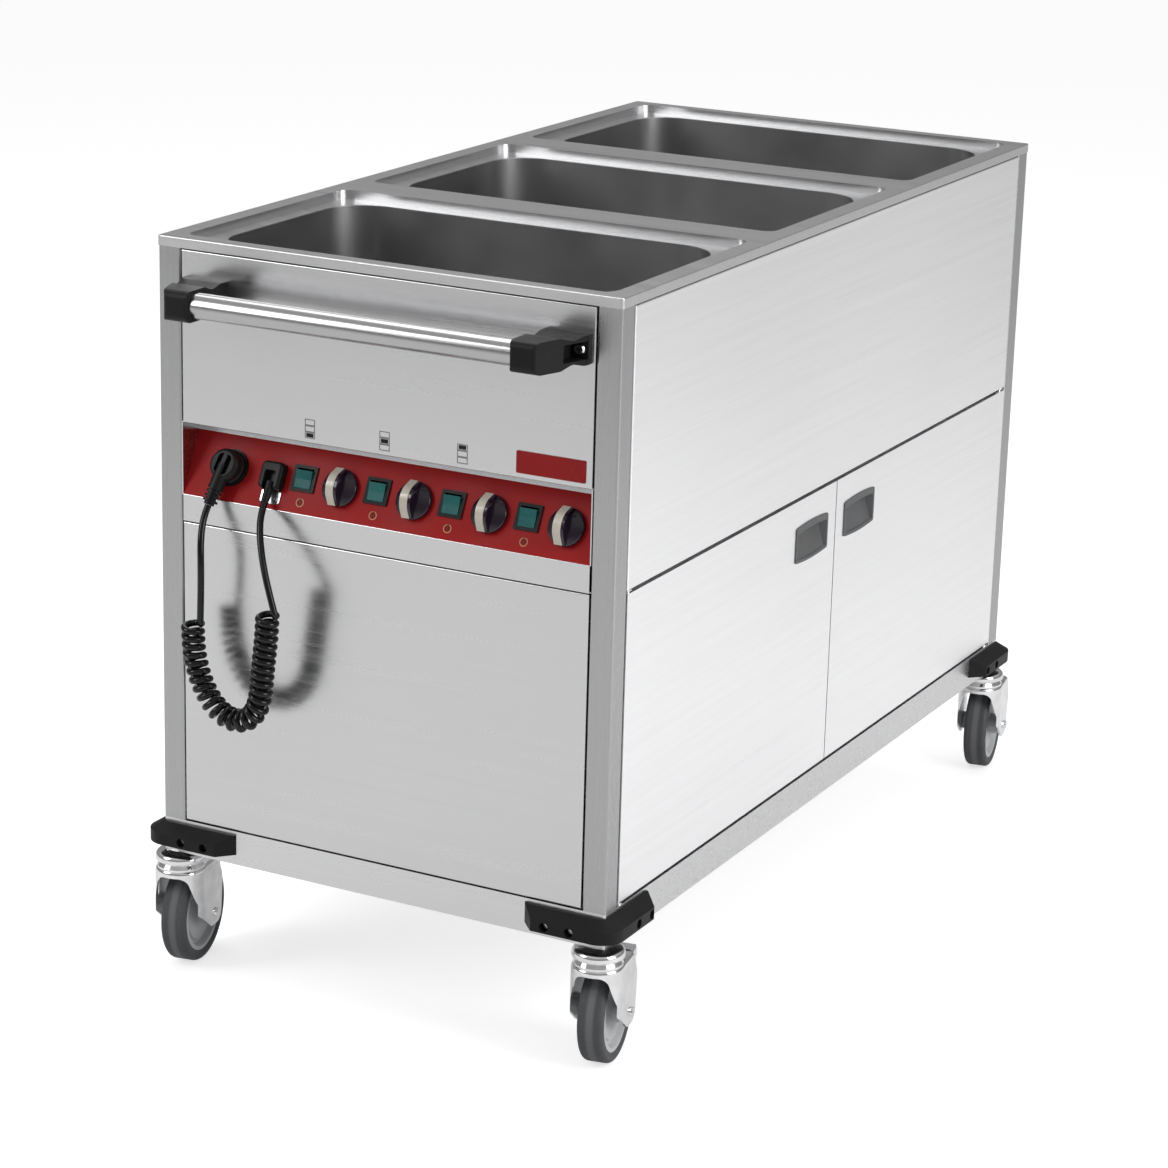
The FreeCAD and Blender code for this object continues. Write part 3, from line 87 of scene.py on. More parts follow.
# %% [markdown]
# ## The mains lead
#
# The real lead is one black cable: it leaves its gland, hangs down in a soft bow, is wound into
# 28 tight curls that sag between the two ends, and runs up again into the plug, which is parked
# in a dummy socket. A screw modifier could make a straight coil, but this one bends as it hangs.
# So the coil's middle line is drawn as a spline first, and a loop winds the wire around it.

# %% Route of the lead, in metres
wire_radius = 0.004
curl_radius = 0.0102
curl_count = 28
curl_lead_in = 0.008
points_per_turn = 16

plug_route = [(-0.22054, -0.61656, 0.60101), (-0.22283, -0.62175, 0.59044), (-0.2213, -0.6305, 0.5725),
              (-0.2182, -0.6368, 0.5560), (-0.2160, -0.6398, 0.5375), (-0.2154, -0.6408, 0.5170),
              (-0.2162, -0.6403, 0.4945), (-0.2176, -0.6394, 0.4710)]
gland_route = [(-0.1500, -0.60445, 0.6168), (-0.1490, -0.6167, 0.6010), (-0.1416, -0.6303, 0.5825),
               (-0.1326, -0.6403, 0.5620), (-0.1232, -0.6478, 0.5415), (-0.1142, -0.6530, 0.5225),
               (-0.1064, -0.6562, 0.5045)]
coil_route = [(-0.2280, -0.6390, 0.4360), (-0.2232, -0.6392, 0.4115), (-0.2142, -0.6398, 0.3890),
              (-0.2008, -0.6410, 0.3706), (-0.1830, -0.6430, 0.3585), (-0.1620, -0.6458, 0.3560),
              (-0.1430, -0.6488, 0.3638), (-0.1303, -0.6516, 0.3805), (-0.1248, -0.6534, 0.4010),
              (-0.1222, -0.6544, 0.4235), (-0.1192, -0.6552, 0.4470), (-0.1155, -0.6560, 0.4720)]


def smooth_line(name, places):
    """One open quadratic spline, steered by its points and fixed at both ends."""
    curve = bpy.data.curves.new(name, "CURVE")
    curve.dimensions = "3D"
    spline = curve.splines.new("NURBS")
    spline.points.add(len(places) - 1)
    for point, place in zip(spline.points, places):
        point.co = (*place, 1.0)
    spline.order_u = 3
    spline.use_endpoint_u = True
    line = bpy.data.objects.new(name, curve)
    scene.collection.objects.link(line)
    return line


def points_along(line):
    """The points of a spline with no bevel, and the distance of each from its start."""
    mesh = bpy.data.meshes.new_from_object(line)
    places = [vertex.co.copy() for vertex in mesh.vertices]
    distances = [0.0]
    for before, here in zip(places, places[1:]):
        distances.append(distances[-1] + (here - before).length)
    bpy.data.meshes.remove(mesh)
    return places, distances


# %% Middle line of the coil
def beyond(route, reach):
    """The point that lies this far past a route's end, straight on."""
    end = Vector(route[-1])
    return end + (end - Vector(route[-2])).normalized() * reach


sideways = Vector((1, 0, 0))
coil_start = beyond(plug_route, curl_lead_in)
coil_end = beyond(gland_route, curl_lead_in)
axis_line = smooth_line("coil_axis", [coil_start - sideways * curl_radius, *coil_route,
                                      coil_end - sideways * curl_radius])
axis_line.data.resolution_u = 40
axis, distance = points_along(axis_line)
bpy.data.objects.remove(axis_line)
print("middle line of the coil:", round(distance[-1], 3), "m")

# %% Wind the wire
# The coil is open where it bends: a turn takes more of the middle line there, so that the curls
# don't crowd on the inner side of the bend.
openness = [1.0] * len(axis)
for i in range(1, len(axis) - 1):
    turn = (axis[i] - axis[i - 1]).angle(axis[i + 1] - axis[i])
    bend = turn / max((distance[i + 1] - distance[i - 1]) / 2, 1e-9)
    openness[i] = 1 - curl_radius * bend
winding = [0.0]
for i in range(1, len(axis)):
    winding.append(winding[-1] + (distance[i] - distance[i - 1]) * openness[i])
turns = curl_count + 0.5

helix = []
steps = int(turns * points_per_turn)
# A quadratic spline cuts inside its points, so these lie a little further out than the wire.
outer = curl_radius / (0.75 + 0.25 * math.cos(2 * math.pi / points_per_turn))
segment = 0
for step in range(steps + 1):
    target = winding[-1] * step / steps
    while segment < len(axis) - 2 and winding[segment + 1] < target:
        segment += 1
    share = (target - winding[segment]) / max(winding[segment + 1] - winding[segment], 1e-9)
    middle = axis[segment].lerp(axis[segment + 1], share)
    along = (axis[segment + 1] - axis[segment]).normalized()
    side = along.cross(Vector((0, 1, 0))).normalized()
    back = side.cross(along)
    angle = 2 * math.pi * turns * step / steps
    helix.append(middle + side * (outer * math.cos(angle)) + back * (outer * math.sin(angle)))

# %% The lead as one spline
lead = smooth_line("mains_lead", [*gland_route, *reversed(helix), *reversed(plug_route)])
lead.data.resolution_u = 3
lead_length = points_along(lead)[1][-1]
lead.data.bevel_depth = wire_radius
lead.data.bevel_resolution = 4
lead.data.use_fill_caps = True
print("mains lead:", round(lead_length, 3), "m on", len(lead.data.splines[0].points), "points")

# %% [markdown]
# ## How a finish is written
#
# Every surface gets its own small node graph. A noise texture that reads object coordinates is
# stretched by a mapping node: long in one direction, it looks like brush lines, and left even, it
# looks like the grain of a mould. The same pattern then steers colour, roughness and a little
# relief together, so that a scratch is duller as well as darker. An image texture would do the
# same, but needs a file and a flattened map of the surface.


# %% Helpers for finishes
noise_low, noise_high = 0.3, 0.7    # nearly all of a noise texture lies between these
reach_ends = ("From Min", "From Max", "To Min", "To Max")


def finish(name, colour, roughness, metallic=0.0, **sockets):
    """A material with plain values on its shader's own sockets."""
    material = bpy.data.materials.new(name)
    material.use_nodes = True
    shader = material.node_tree.nodes["Principled BSDF"]
    shader.inputs["Base Color"].default_value = (*colour, 1)
    shader.inputs["Roughness"].default_value = roughness
    shader.inputs["Metallic"].default_value = metallic
    for socket, value in sockets.items():
        shader.inputs[socket.replace("_", " ")].default_value = value
    return material


def node(material, kind, **values):
    made = material.node_tree.nodes.new(kind)
    for name, value in values.items():
        if name in made.inputs:
            made.inputs[name].default_value = value
        else:
            setattr(made, name, value)
    return made


def wire(material, source, target):
    material.node_tree.links.new(source, target)


def grain(material, stretch, detail=2.0, shift=(0, 0, 0)):
    """Noise over the object's own coordinates; stretch is how many cells per metre along X, Y, Z."""
    place = node(material, "ShaderNodeTexCoord")
    spread = node(material, "ShaderNodeMapping", Scale=stretch, Location=shift)
    noise = node(material, "ShaderNodeTexNoise", Scale=1.0, Detail=detail)
    wire(material, place.outputs["Object"], spread.inputs["Vector"])
    wire(material, spread.outputs["Vector"], noise.inputs["Vector"])
    return noise.outputs["Fac"]


def both(material, first, second, share):
    """Two patterns in one, with this share of the second."""
    mix = node(material, "ShaderNodeMix", data_type="FLOAT")
    mix.inputs[0].default_value = share
    wire(material, first, mix.inputs[2])
    wire(material, second, mix.inputs[3])
    return mix.outputs[0]


def tone(material, source, dark, light, low=noise_low, high=noise_high):
    """The pattern runs the base colour from dark to light."""
    ramp = node(material, "ShaderNodeValToRGB")
    ramp.color_ramp.elements[0].position = low
    ramp.color_ramp.elements[1].position = high
    ramp.color_ramp.elements[0].color = (*dark, 1)
    ramp.color_ramp.elements[1].color = (*light, 1)
    wire(material, source, ramp.inputs["Fac"])
    wire(material, ramp.outputs["Color"], material.node_tree.nodes["Principled BSDF"].inputs["Base Color"])


def gloss(material, source, low, high):
    """The pattern runs the roughness from low to high."""
    reach = node(material, "ShaderNodeMapRange")
    for socket, value in zip(reach_ends, (noise_low, noise_high, low, high)):
        reach.inputs[socket].default_value = value
    wire(material, source, reach.inputs["Value"])
    wire(material, reach.outputs["Result"], material.node_tree.nodes["Principled BSDF"].inputs["Roughness"])


def relief(material, source, depth, strength=1.0):
    """The pattern raises the surface by up to this depth, in metres."""
    bump = node(material, "ShaderNodeBump", Strength=strength, Distance=depth)
    wire(material, source, bump.inputs["Height"])
    wire(material, bump.outputs["Normal"], material.node_tree.nodes["Principled BSDF"].inputs["Normal"])


def grey(value):
    return (value, value, value * 1.01)


# %% [markdown]
# ## Brushed stainless sheet
#
# A belt grinder leaves thousands of parallel hairlines in the sheet, and each panel is cut with
# its lines along its length. So one function makes the steel, and the panel's direction, tone and
# dullness are its arguments. The tone carries painted light and shade: the steel is the same
# everywhere, but the side panels are painted lighter and the end panels and posts darker, for how
# the studio light falls on each face. The lines are far apart along the brushing and close across
# it, and a second, wide pattern gives the slow clouding of a large sheet.


# %% Brushed steel
def drawn_out(along, across_lines, along_lines):
    """Cells per metre for a grain that is drawn out along one axis."""
    stretch = [across_lines] * 3
    stretch[along] = along_lines
    return stretch


def brushed(name, along, tint, dullness, hairline=0.000002):
    """Stainless sheet brushed along one axis, 0, 1 or 2."""
    steel = finish(name, grey(tint), dullness, 1.0)
    fine = grain(steel, drawn_out(along, 240.0, 3.0), 2.0)
    streak = grain(steel, drawn_out(along, 90.0, 1.5), 1.0, (3.1, 1.7, 0.4))
    lines = both(steel, fine, streak, 0.4)
    cloud = grain(steel, (1.6, 1.6, 1.6), 2.0, (0.3, 0.9, 0.2))
    tone(steel, both(steel, lines, cloud, 0.45), grey(tint * 0.955), grey(min(tint * 1.03, 1.0)), 0.35, 0.65)
    gloss(steel, lines, dullness - 0.03, dullness + 0.05)
    relief(steel, fine, hairline, 0.3)
    return steel


# Painted light and shade: one steel, with the side sheet painted lighter and the front sheet and posts
# painted darker, for how the light falls on each face.
front_sheet = brushed("front_sheet", 0, 0.62, 0.24)
side_sheet = brushed("side_sheet", 1, 0.95, 0.30)
post_steel = brushed("post_steel", 2, 0.42, 0.26)
deck_steel = brushed("deck_steel", 0, 0.62, 0.30)
rail_steel = brushed("rail_steel", 0, 0.66, 0.28)
inner_steel = brushed("inner_steel", 1, 0.60, 0.40)
tube_steel = brushed("tube_steel", 0, 0.45, 0.20)


def drawn(name, tint, dullness):
    """Deep-drawn stainless: no brush lines, only the slow clouding that the press leaves."""
    steel = finish(name, grey(tint), dullness, 1.0)
    cloud = grain(steel, (9.0, 9.0, 9.0), 2.0, (0.7, 0.1, 0.4))
    tone(steel, cloud, grey(tint * 0.94), grey(tint * 1.04))
    gloss(steel, cloud, dullness - 0.03, dullness + 0.04)
    return steel


well_steel = drawn("well_steel", 0.42, 0.32)

# %% [markdown]
# ## Plated steel, plastics and rubber
#
# The castors are bright zinc plate, smooth enough to mirror the floor. The bumpers, brackets and
# plug are one black plastic with a fine mould grain, and the tyres a softer, chalky grey rubber.


# %% Plated steel
def plated(name, tint, dullness):
    plate = finish(name, grey(tint), dullness, 1.0)
    haze = grain(plate, (60.0, 60.0, 60.0), 4.0)
    tone(plate, haze, grey(tint * 0.86), grey(tint * 1.04))
    gloss(plate, haze, dullness * 0.6, dullness * 1.7)
    relief(plate, grain(plate, (240.0, 240.0, 240.0), 2.0), 0.00002, 0.4)
    return plate


bright_plate = plated("bright_plate", 0.84, 0.12)
screw_plate = plated("screw_plate", 0.70, 0.22)
pale_plate = plated("pale_plate", 0.92, 0.30)
element_sheath = plated("element_sheath", 0.30, 0.42)


# %% Moulded plastics and rubber
def moulded(name, dark, light, dullness, pitch, depth, **sockets):
    """Plastic or rubber with the fine grain of its mould, and wide faint patches of handling."""
    plastic = finish(name, dark, dullness, 0.0, **sockets)
    fine = grain(plastic, (pitch, pitch, pitch), 3.0)
    wide = grain(plastic, (18.0, 18.0, 18.0), 3.0, (2.0, 5.0, 1.0))
    tone(plastic, both(plastic, fine, wide, 0.6), dark, light, 0.35, 0.65)
    gloss(plastic, wide, dullness - 0.06, dullness + 0.10)
    relief(plastic, fine, depth, 0.6)
    return plastic


black_mould = moulded("black_mould", (0.006, 0.006, 0.007), (0.012, 0.012, 0.013), 0.42, 1500.0, 0.00006,
                      Specular_IOR_Level=0.18)
plug_mould = moulded("plug_mould", (0.005, 0.005, 0.006), (0.011, 0.011, 0.012), 0.36, 900.0, 0.00003,
                     Specular_IOR_Level=0.20)
lead_sheath = moulded("lead_sheath", (0.003, 0.003, 0.004), (0.007, 0.007, 0.008), 0.15, 700.0, 0.00001,
                      Specular_IOR_Level=0.32)
cup_mould = moulded("cup_mould", (0.085, 0.086, 0.088), (0.115, 0.117, 0.12), 0.45, 1500.0, 0.00004,
                    Specular_IOR_Level=0.25)
hub_mould = moulded("hub_mould", (0.42, 0.43, 0.44), (0.55, 0.56, 0.57), 0.45, 800.0, 0.00006)
knob_gloss = moulded("knob_gloss", (0.012, 0.005, 0.013), (0.020, 0.009, 0.022), 0.14, 300.0, 0.00001,
                     Specular_IOR_Level=0.4, Coat_Weight=0.3, Coat_Roughness=0.05)
knob_cream = moulded("knob_cream", (0.55, 0.50, 0.42), (0.66, 0.61, 0.53), 0.22, 300.0, 0.00001,
                     Coat_Weight=0.4, Coat_Roughness=0.08)
film_red = moulded("film_red", (0.330, 0.0080, 0.0090), (0.370, 0.0100, 0.0110), 0.40, 900.0, 0.00002,
                   Specular_IOR_Level=0.12)
rocker_lens = moulded("rocker_lens", (0.024, 0.120, 0.118), (0.036, 0.170, 0.166), 0.22, 250.0, 0.00001,
                      Specular_IOR_Level=0.10)
ink_amber = moulded("ink_amber", (0.52, 0.26, 0.10), (0.60, 0.32, 0.13), 0.40, 900.0, 0.00001)
# Dark print for the drops and pictogram cells, and painted shade for the crosses in the handle screws.
dark_ink_and_painted_shade = moulded("dark_ink_and_painted_shade", (0.012, 0.010, 0.010), (0.020, 0.018, 0.018), 0.40, 900.0, 0.00001,
                   Specular_IOR_Level=0.15)
ink_grey = moulded("ink_grey", (0.17, 0.17, 0.17), (0.21, 0.21, 0.21), 0.40, 900.0, 0.00001)
plate_red = moulded("plate_red", (0.270, 0.008, 0.009), (0.310, 0.010, 0.011), 0.30, 600.0, 0.00001,
                    Specular_IOR_Level=0.2)
heater_case = moulded("heater_case", (0.03, 0.03, 0.03), (0.05, 0.05, 0.05), 0.5, 600.0, 0.00006)


# %% Tyre rubber
wheel_heading = math.radians(190)
wheel_axle = Vector((math.cos(wheel_heading), math.sin(wheel_heading), 0))
band_half, band_fade, band_share = 0.0025, 0.0060, 0.45


def tyre_rubber(name, wheel):
    """Grey rubber, paler along the mould line round the middle of the tread."""
    rubber = moulded(name, (0.058, 0.060, 0.064), (0.090, 0.092, 0.097), 0.60, 400.0, 0.00010,
                     Specular_IOR_Level=0.30)
    low, high = (Vector(corner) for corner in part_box(wheel))
    place = node(rubber, "ShaderNodeTexCoord")
    along = node(rubber, "ShaderNodeVectorMath", operation="DOT_PRODUCT")
    along.inputs[1].default_value = wheel_axle
    offset = node(rubber, "ShaderNodeMath", operation="SUBTRACT")
    offset.inputs[1].default_value = wheel_axle.dot((low + high) / 2)
    distance = node(rubber, "ShaderNodeMath", operation="ABSOLUTE")
    band = node(rubber, "ShaderNodeMapRange")
    for socket, value in zip(reach_ends, (band_half, band_fade, band_share, 0.0)):
        band.inputs[socket].default_value = value
    paler = node(rubber, "ShaderNodeMix", data_type="RGBA")
    shader = rubber.node_tree.nodes["Principled BSDF"]
    plain = shader.inputs["Base Color"].links[0].from_socket
    wire(rubber, place.outputs["Object"], along.inputs[0])
    wire(rubber, along.outputs["Value"], offset.inputs[0])
    wire(rubber, offset.outputs["Value"], distance.inputs[0])
    wire(rubber, distance.outputs["Value"], band.inputs["Value"])
    wire(rubber, band.outputs["Result"], paler.inputs[0])
    wire(rubber, plain, paler.inputs[6])
    paler.inputs[7].default_value = (0.23, 0.23, 0.24, 1)
    wire(rubber, paler.outputs[2], shader.inputs["Base Color"])
    return rubber


# %% Give each node its finish
def paint(material, *names):
    for name in names:
        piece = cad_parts[name]
        piece.data.materials.clear()
        piece.data.materials.append(material)


corners = [end + "_" + side for end in ("front", "rear") for side in ("left", "right")]
paint(front_sheet, "upper_end_panel", "lower_end_panel", "rear_end_panel", "control_housing")
paint(side_sheet, "upper_side_panel", "far_side_panel", "door_skin_front", "door_skin_rear")
paint(post_steel, "corner_posts")
paint(deck_steel, "deck_top")
paint(rail_steel, "base_frame")
paint(well_steel, "well_tank_front", "well_tank_middle", "well_tank_rear")
paint(inner_steel, "cupboard_liner", "cupboard_shelf", "shelf_runners", "door_pan_front", "door_pan_rear")
paint(tube_steel, "handle_tube")
paint(bright_plate, "castor_stems", "brake_pedal_left", "brake_pedal_right",
      *("castor_fork_" + corner for corner in corners))
paint(screw_plate, "cover_screws", "hinge_pins")
paint(element_sheath, "well_heaters", "cupboard_heater")
paint(heater_case, "thermostats")
paint(film_red, "control_overlay")
paint(black_mould, "bumpers", "handle_brackets", "switch_frames", "parking_socket")
paint(plug_mould, "plug")
paint(hub_mould, *("wheel_hub_" + corner for corner in corners))
for corner in corners:
    paint(tyre_rubber("tyre_" + corner, "wheel_tyre_" + corner), "wheel_tyre_" + corner)
paint(knob_gloss, *(f"heat_knob_{number}" for number in range(1, 5)))
paint(rocker_lens, *(f"rocker_{number}" for number in range(1, 5)))
lead.data.materials.append(lead_sheath)

# %% [markdown]
# ## Small trim on the control panel
#
# The panel leans back, so its trim is modelled lying flat, where right, up and out are simply X, Y
# and Z, and one matrix then carries each finished mesh to its place. Every piece starts from a
# primitive and is shaped in edit mode, and most get their rounded edges from a bevel modifier; the
# printed marks and the strain relief keep plain edges. A flat picture on the panel would be
# quicker, but these parts stand proud and catch the light along their edges.

# %% Where the leaning panel is
slant_rise, slant_setback = 0.0865, 0.0425
slant_length = math.hypot(slant_rise, slant_setback)
uphill = Vector((0, slant_setback, slant_rise)) / slant_length
outward = Vector((0, -slant_rise, slant_setback)) / slant_length
panel_face, slope_foot = -0.599, 0.6025
on_slope = Matrix.Translation((0, panel_face, slope_foot)) @ facing(sideways, uphill, outward)
film = 0.0006    # thickness of the red overlay


# %% Workbench
def clear_bench():
    """Leave nothing selected, so that the next primitive is the only piece an operator touches."""
    if bpy.context.mode != "OBJECT":
        bpy.ops.object.mode_set(mode="OBJECT")
    bpy.ops.object.select_all(action="DESELECT")


def take(name):
    """Name the primitive that was just added, and open it for shaping."""
    piece = bpy.context.active_object
    piece.name = name
    piece.data.name = name
    bpy.ops.object.transform_apply(location=True, rotation=True, scale=True)
    bpy.ops.object.mode_set(mode="EDIT")
    return piece


def pick(piece, kind, test):
    """Select the vertices, edges or faces whose middle passes the test; returns how many."""
    bpy.ops.mesh.select_mode(type=kind)
    bpy.ops.mesh.select_all(action="DESELECT")
    shape = bmesh.from_edit_mesh(piece.data)
    parts = {"VERT": shape.verts, "EDGE": shape.edges, "FACE": shape.faces}[kind]
    count = 0
    for part in parts:
        if kind == "VERT":
            middle = part.co
        elif kind == "EDGE":
            middle = (part.verts[0].co + part.verts[1].co) / 2
        else:
            middle = part.calc_center_median()
        if test(middle, part):
            part.select_set(True)
            count += 1
    shape.select_flush_mode()
    bmesh.update_edit_mesh(piece.data)
    return count


def lift(distance):
    """Give what is selected a wall, straight up."""
    bpy.ops.mesh.extrude_region_move(TRANSFORM_OT_translate={"value": (0, 0, distance)})


def polish(piece, edge=0.0, steps=2, angle=35):
    """Close the mesh, face it outwards, round its edges and smooth its shading."""
    bpy.ops.mesh.select_all(action="SELECT")
    bpy.ops.mesh.remove_doubles(threshold=0.00001)
    bpy.ops.mesh.normals_make_consistent(inside=False)
    bpy.ops.object.mode_set(mode="OBJECT")
    if edge:
        rounding = piece.modifiers.new("edge", "BEVEL")
        rounding.width = edge
        rounding.segments = steps
        rounding.limit_method = "ANGLE"
        rounding.angle_limit = math.radians(angle)
        bpy.ops.object.modifier_apply(modifier=rounding.name)
    bpy.ops.object.shade_smooth_by_angle(angle=math.radians(angle))
    shading = piece.modifiers.new("even_shading", "WEIGHTED_NORMAL")
    shading.keep_sharp = True
    bpy.ops.object.modifier_apply(modifier=shading.name)


def fit(piece, place, body, material):
    """Carry the mesh itself to its place, and say what it moves with and is made of."""
    piece.data.transform(place)
    piece.data.materials.clear()
    piece.data.materials.append(material)
    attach(piece, body)


def again(piece, name):
    """A copy of a piece with a mesh of its own."""
    twin = bpy.data.objects.new(name, piece.data.copy())
    scene.collection.objects.link(twin)
    return twin


def rounded_tile(name, width, height, corner):
    """A flat tile with rounded corners, open for shaping."""
    clear_bench()
    bpy.ops.mesh.primitive_plane_add(size=1)
    bpy.context.active_object.scale = (width, height, 1)
    tile = take(name)
    bpy.ops.mesh.select_all(action="SELECT")
    bpy.ops.mesh.bevel(offset=corner, segments=5, affect="VERTICES")
    return tile


# %% [markdown]
# ## Ivory caps on the knobs
#
# Each knob has an ivory strip over its grip bar. On the real knob it is a second moulding that
# clips on, bent to the bar's arched back. A short flat section is spun round the arch's own centre
# and its two ends are then pulled straight down the bar. An array bent by a curve would do it too,
# but spin keeps the strip's thickness exact.

# %% Ivory cap
control_pitch = 0.0975
knob_x, knob_s = -0.062, 0.0378
arch_centre, arch_radius = 0.005, 0.019
arch_half = math.radians(49.5)
cap_left, cap_right, cap_proud, cap_depth = -0.0072, 0.0030, 0.0006, 0.0026
cheek_depth, cheek_wall = 0.0100, 0.0010
slope_run, slope_fall = 0.0075, 0.0080
cap_top = arch_centre + arch_radius + cap_proud
cap_floor = cap_top - cap_depth
cheek_line = cap_left + cheek_wall

clear_bench()
bpy.ops.mesh.primitive_plane_add(size=1, location=((cap_left + cap_right) / 2, 0, cap_top - cap_depth / 2),
                                 rotation=(math.radians(90), 0, 0))
bpy.context.active_object.scale = (cap_right - cap_left, cap_depth, 1)
cap = take("ivory_cap_1")
bpy.ops.mesh.select_all(action="SELECT")
bpy.ops.mesh.bisect(plane_co=(cheek_line, 0, 0), plane_no=(1, 0, 0))
pick(cap, "EDGE", lambda middle, part: abs(middle.z - cap_floor) < 0.0001 and middle.x < cheek_line)
lift(-cheek_depth)
bpy.ops.mesh.select_all(action="SELECT")
bpy.ops.transform.rotate(value=arch_half, orient_axis="X", center_override=(0, 0, arch_centre))
starts_low = min(vertex.co.y for vertex in bmesh.from_edit_mesh(cap.data).verts) < 0
spin_axis = (1 if starts_low else -1, 0, 0)
bpy.ops.mesh.spin(steps=18, angle=2 * arch_half, center=(0, 0, arch_centre), axis=spin_axis)
for end in (-1, 1):
    along_bar = Vector((0, end * math.cos(arch_half), -math.sin(arch_half)))
    pick(cap, "FACE", lambda middle, part: abs(part.normal.dot(along_bar)) > 0.99
         and end * middle.y > 0.004)
    bpy.ops.mesh.extrude_region_move(TRANSFORM_OT_translate={"value": (0, end * slope_run, -slope_fall)})
polish(cap, 0.0006, 3)
caps = [cap] + [again(cap, "ivory_cap_%d" % (number + 2)) for number in range(3)]
for number, piece in enumerate(caps):
    shift = Matrix.Translation((knob_x + number * control_pitch, knob_s, 0))
    fit(piece, on_slope @ shift, "knob_%d" % (number + 1), knob_cream)
print("ivory cap:", len(cap.data.polygons), "faces")

# %% [markdown]
# ## Printed marks
#
# Under each switch an amber ring with a dark drop is printed, and over the panel three small
# pictograms say which well each knob heats. Printed marks could be part of the film's colour, but
# as thin pieces they keep a sharp edge from close by.

# %% Amber rings and drops
ring_x, ring_s, ink = -0.111, 0.0135, 0.00012
ring_radius, drop_radius, ring_line = 0.0051, 0.0026, 0.0009

clear_bench()
bpy.ops.mesh.primitive_circle_add(vertices=40, radius=ring_radius, fill_type="NGON")
ring = take("amber_ring_1")
bpy.ops.mesh.select_all(action="SELECT")
bpy.ops.mesh.inset(thickness=ring_line)
pick(ring, "FACE", lambda middle, part: len(part.verts) > 4)
bpy.ops.mesh.delete(type="FACE")
bpy.ops.mesh.select_all(action="SELECT")
lift(ink)
polish(ring)

clear_bench()
bpy.ops.mesh.primitive_circle_add(vertices=24, radius=drop_radius, fill_type="NGON")
drop = take("dark_drop_1")
for reach, share in ((0.0019, 0.0030), (0.0024, 0.0012)):
    pick(drop, "VERT", lambda middle, part: middle.y > reach)
    bpy.ops.transform.translate(value=(0, share * 0.6, 0))
bpy.ops.mesh.select_all(action="SELECT")
bpy.ops.mesh.inset(thickness=ring_line)
pick(drop, "FACE", lambda middle, part: len(part.verts) > 4)
bpy.ops.mesh.delete(type="FACE")
bpy.ops.mesh.select_all(action="SELECT")
lift(ink)
polish(drop)

# The first ring and drop stay on the bench until their copies are made.
for number in range(1, 4):
    shift = Matrix.Translation((ring_x + number * control_pitch, ring_s, film))
    for mark, name, material in ((ring, "amber_ring", ink_amber), (drop, "dark_drop", dark_ink_and_painted_shade)):
        twin = again(mark, "%s_%d" % (name, number + 1))
        fit(twin, on_slope @ shift, "trolley", material)
shift = Matrix.Translation((ring_x, ring_s, film))
fit(ring, on_slope @ shift, "trolley", ink_amber)
fit(drop, on_slope @ shift, "trolley", dark_ink_and_painted_shade)
print("printed marks: 4 rings and 4 drops")

# %% Well pictograms
on_end = facing(sideways, Vector((0, 0, 1)), Vector((0, -1, 0)))
upright_panel = Matrix.Translation((0, panel_face, 0)) @ on_end
label_x, label_z = (-0.094, 0.0045, 0.105), 0.7055
label_size, label_line = (0.0135, 0.0225), 0.0011
cell_width, cell_height, cell_corner = 0.0096, 0.0046, 0.0009

for number, x in enumerate(label_x):
    clear_bench()
    bpy.ops.mesh.primitive_grid_add(x_subdivisions=1, y_subdivisions=3, size=1)
    bpy.context.active_object.scale = (*label_size, 1)
    ladder = take("label_frame_%d" % (number + 1))
    bpy.ops.mesh.select_all(action="SELECT")
    bpy.ops.mesh.inset(thickness=label_line, use_individual=True)
    pick(ladder, "FACE", lambda middle, part: abs(middle.x) < 0.001 and part.calc_area() > 0.00005)
    bpy.ops.mesh.delete(type="FACE")
    bpy.ops.mesh.select_all(action="SELECT")
    lift(ink)
    polish(ladder)
    cell = rounded_tile("label_cell_%d" % (number + 1), cell_width, cell_height, cell_corner)
    bpy.ops.mesh.select_all(action="SELECT")
    lift(ink)
    polish(cell)
    fit(ladder, upright_panel @ Matrix.Translation((x, label_z, 0)), "trolley", ink_grey)
    fit(cell, upright_panel @ Matrix.Translation((x, label_z + (number - 1) * label_size[1] / 3, 0)),
        "trolley", dark_ink_and_painted_shade)
print("pictograms at x", label_x)

# %% [markdown]
# ## Name plate without a name
#
# A small red plate sits over the panel's right end. It stays plain here: a tile with round corners
# and a softened rim, thick enough to catch a line of light along its top edge.

# %% Plain red plate
plate_x, plate_z = 0.21675, 0.7075
plate_width, plate_height, plate_corner, plate_proud = 0.0865, 0.0255, 0.0016, 0.0012

plate = rounded_tile("red_plate", plate_width, plate_height, plate_corner)
bpy.ops.mesh.select_all(action="SELECT")
lift(plate_proud)
polish(plate, 0.0004, 3, 50)
fit(plate, upright_panel @ Matrix.Translation((plate_x, plate_z, 0)), "trolley", plate_red)
print("red plate:", len(plate.data.polygons), "faces")

# %% [markdown]
# ## Where the lead comes out
#
# The lead leaves the panel through a moulded hood with a hollow in its middle, and a bright plate
# under it takes two small screws. The hood is a block with round edges, and the hollow is cut with
# a boolean, which is the plain way to make a pocket that breaks out of one side. The lead's
# strain relief is a cone whose rings are drawn in by turns, so that it is ringed like a bellows.

# %% Gland hood
hood_x, hood_s = -0.151, 0.038
hood_width, hood_height, hood_depth = 0.029, 0.033, 0.013
hood_corner, hood_rim = 0.0065, 0.0038
hollow_width, hollow_height, hollow_depth, hollow_corner = 0.0150, 0.0300, 0.012, 0.003
hollow_drop, hollow_floor = 0.0095, 0.0040

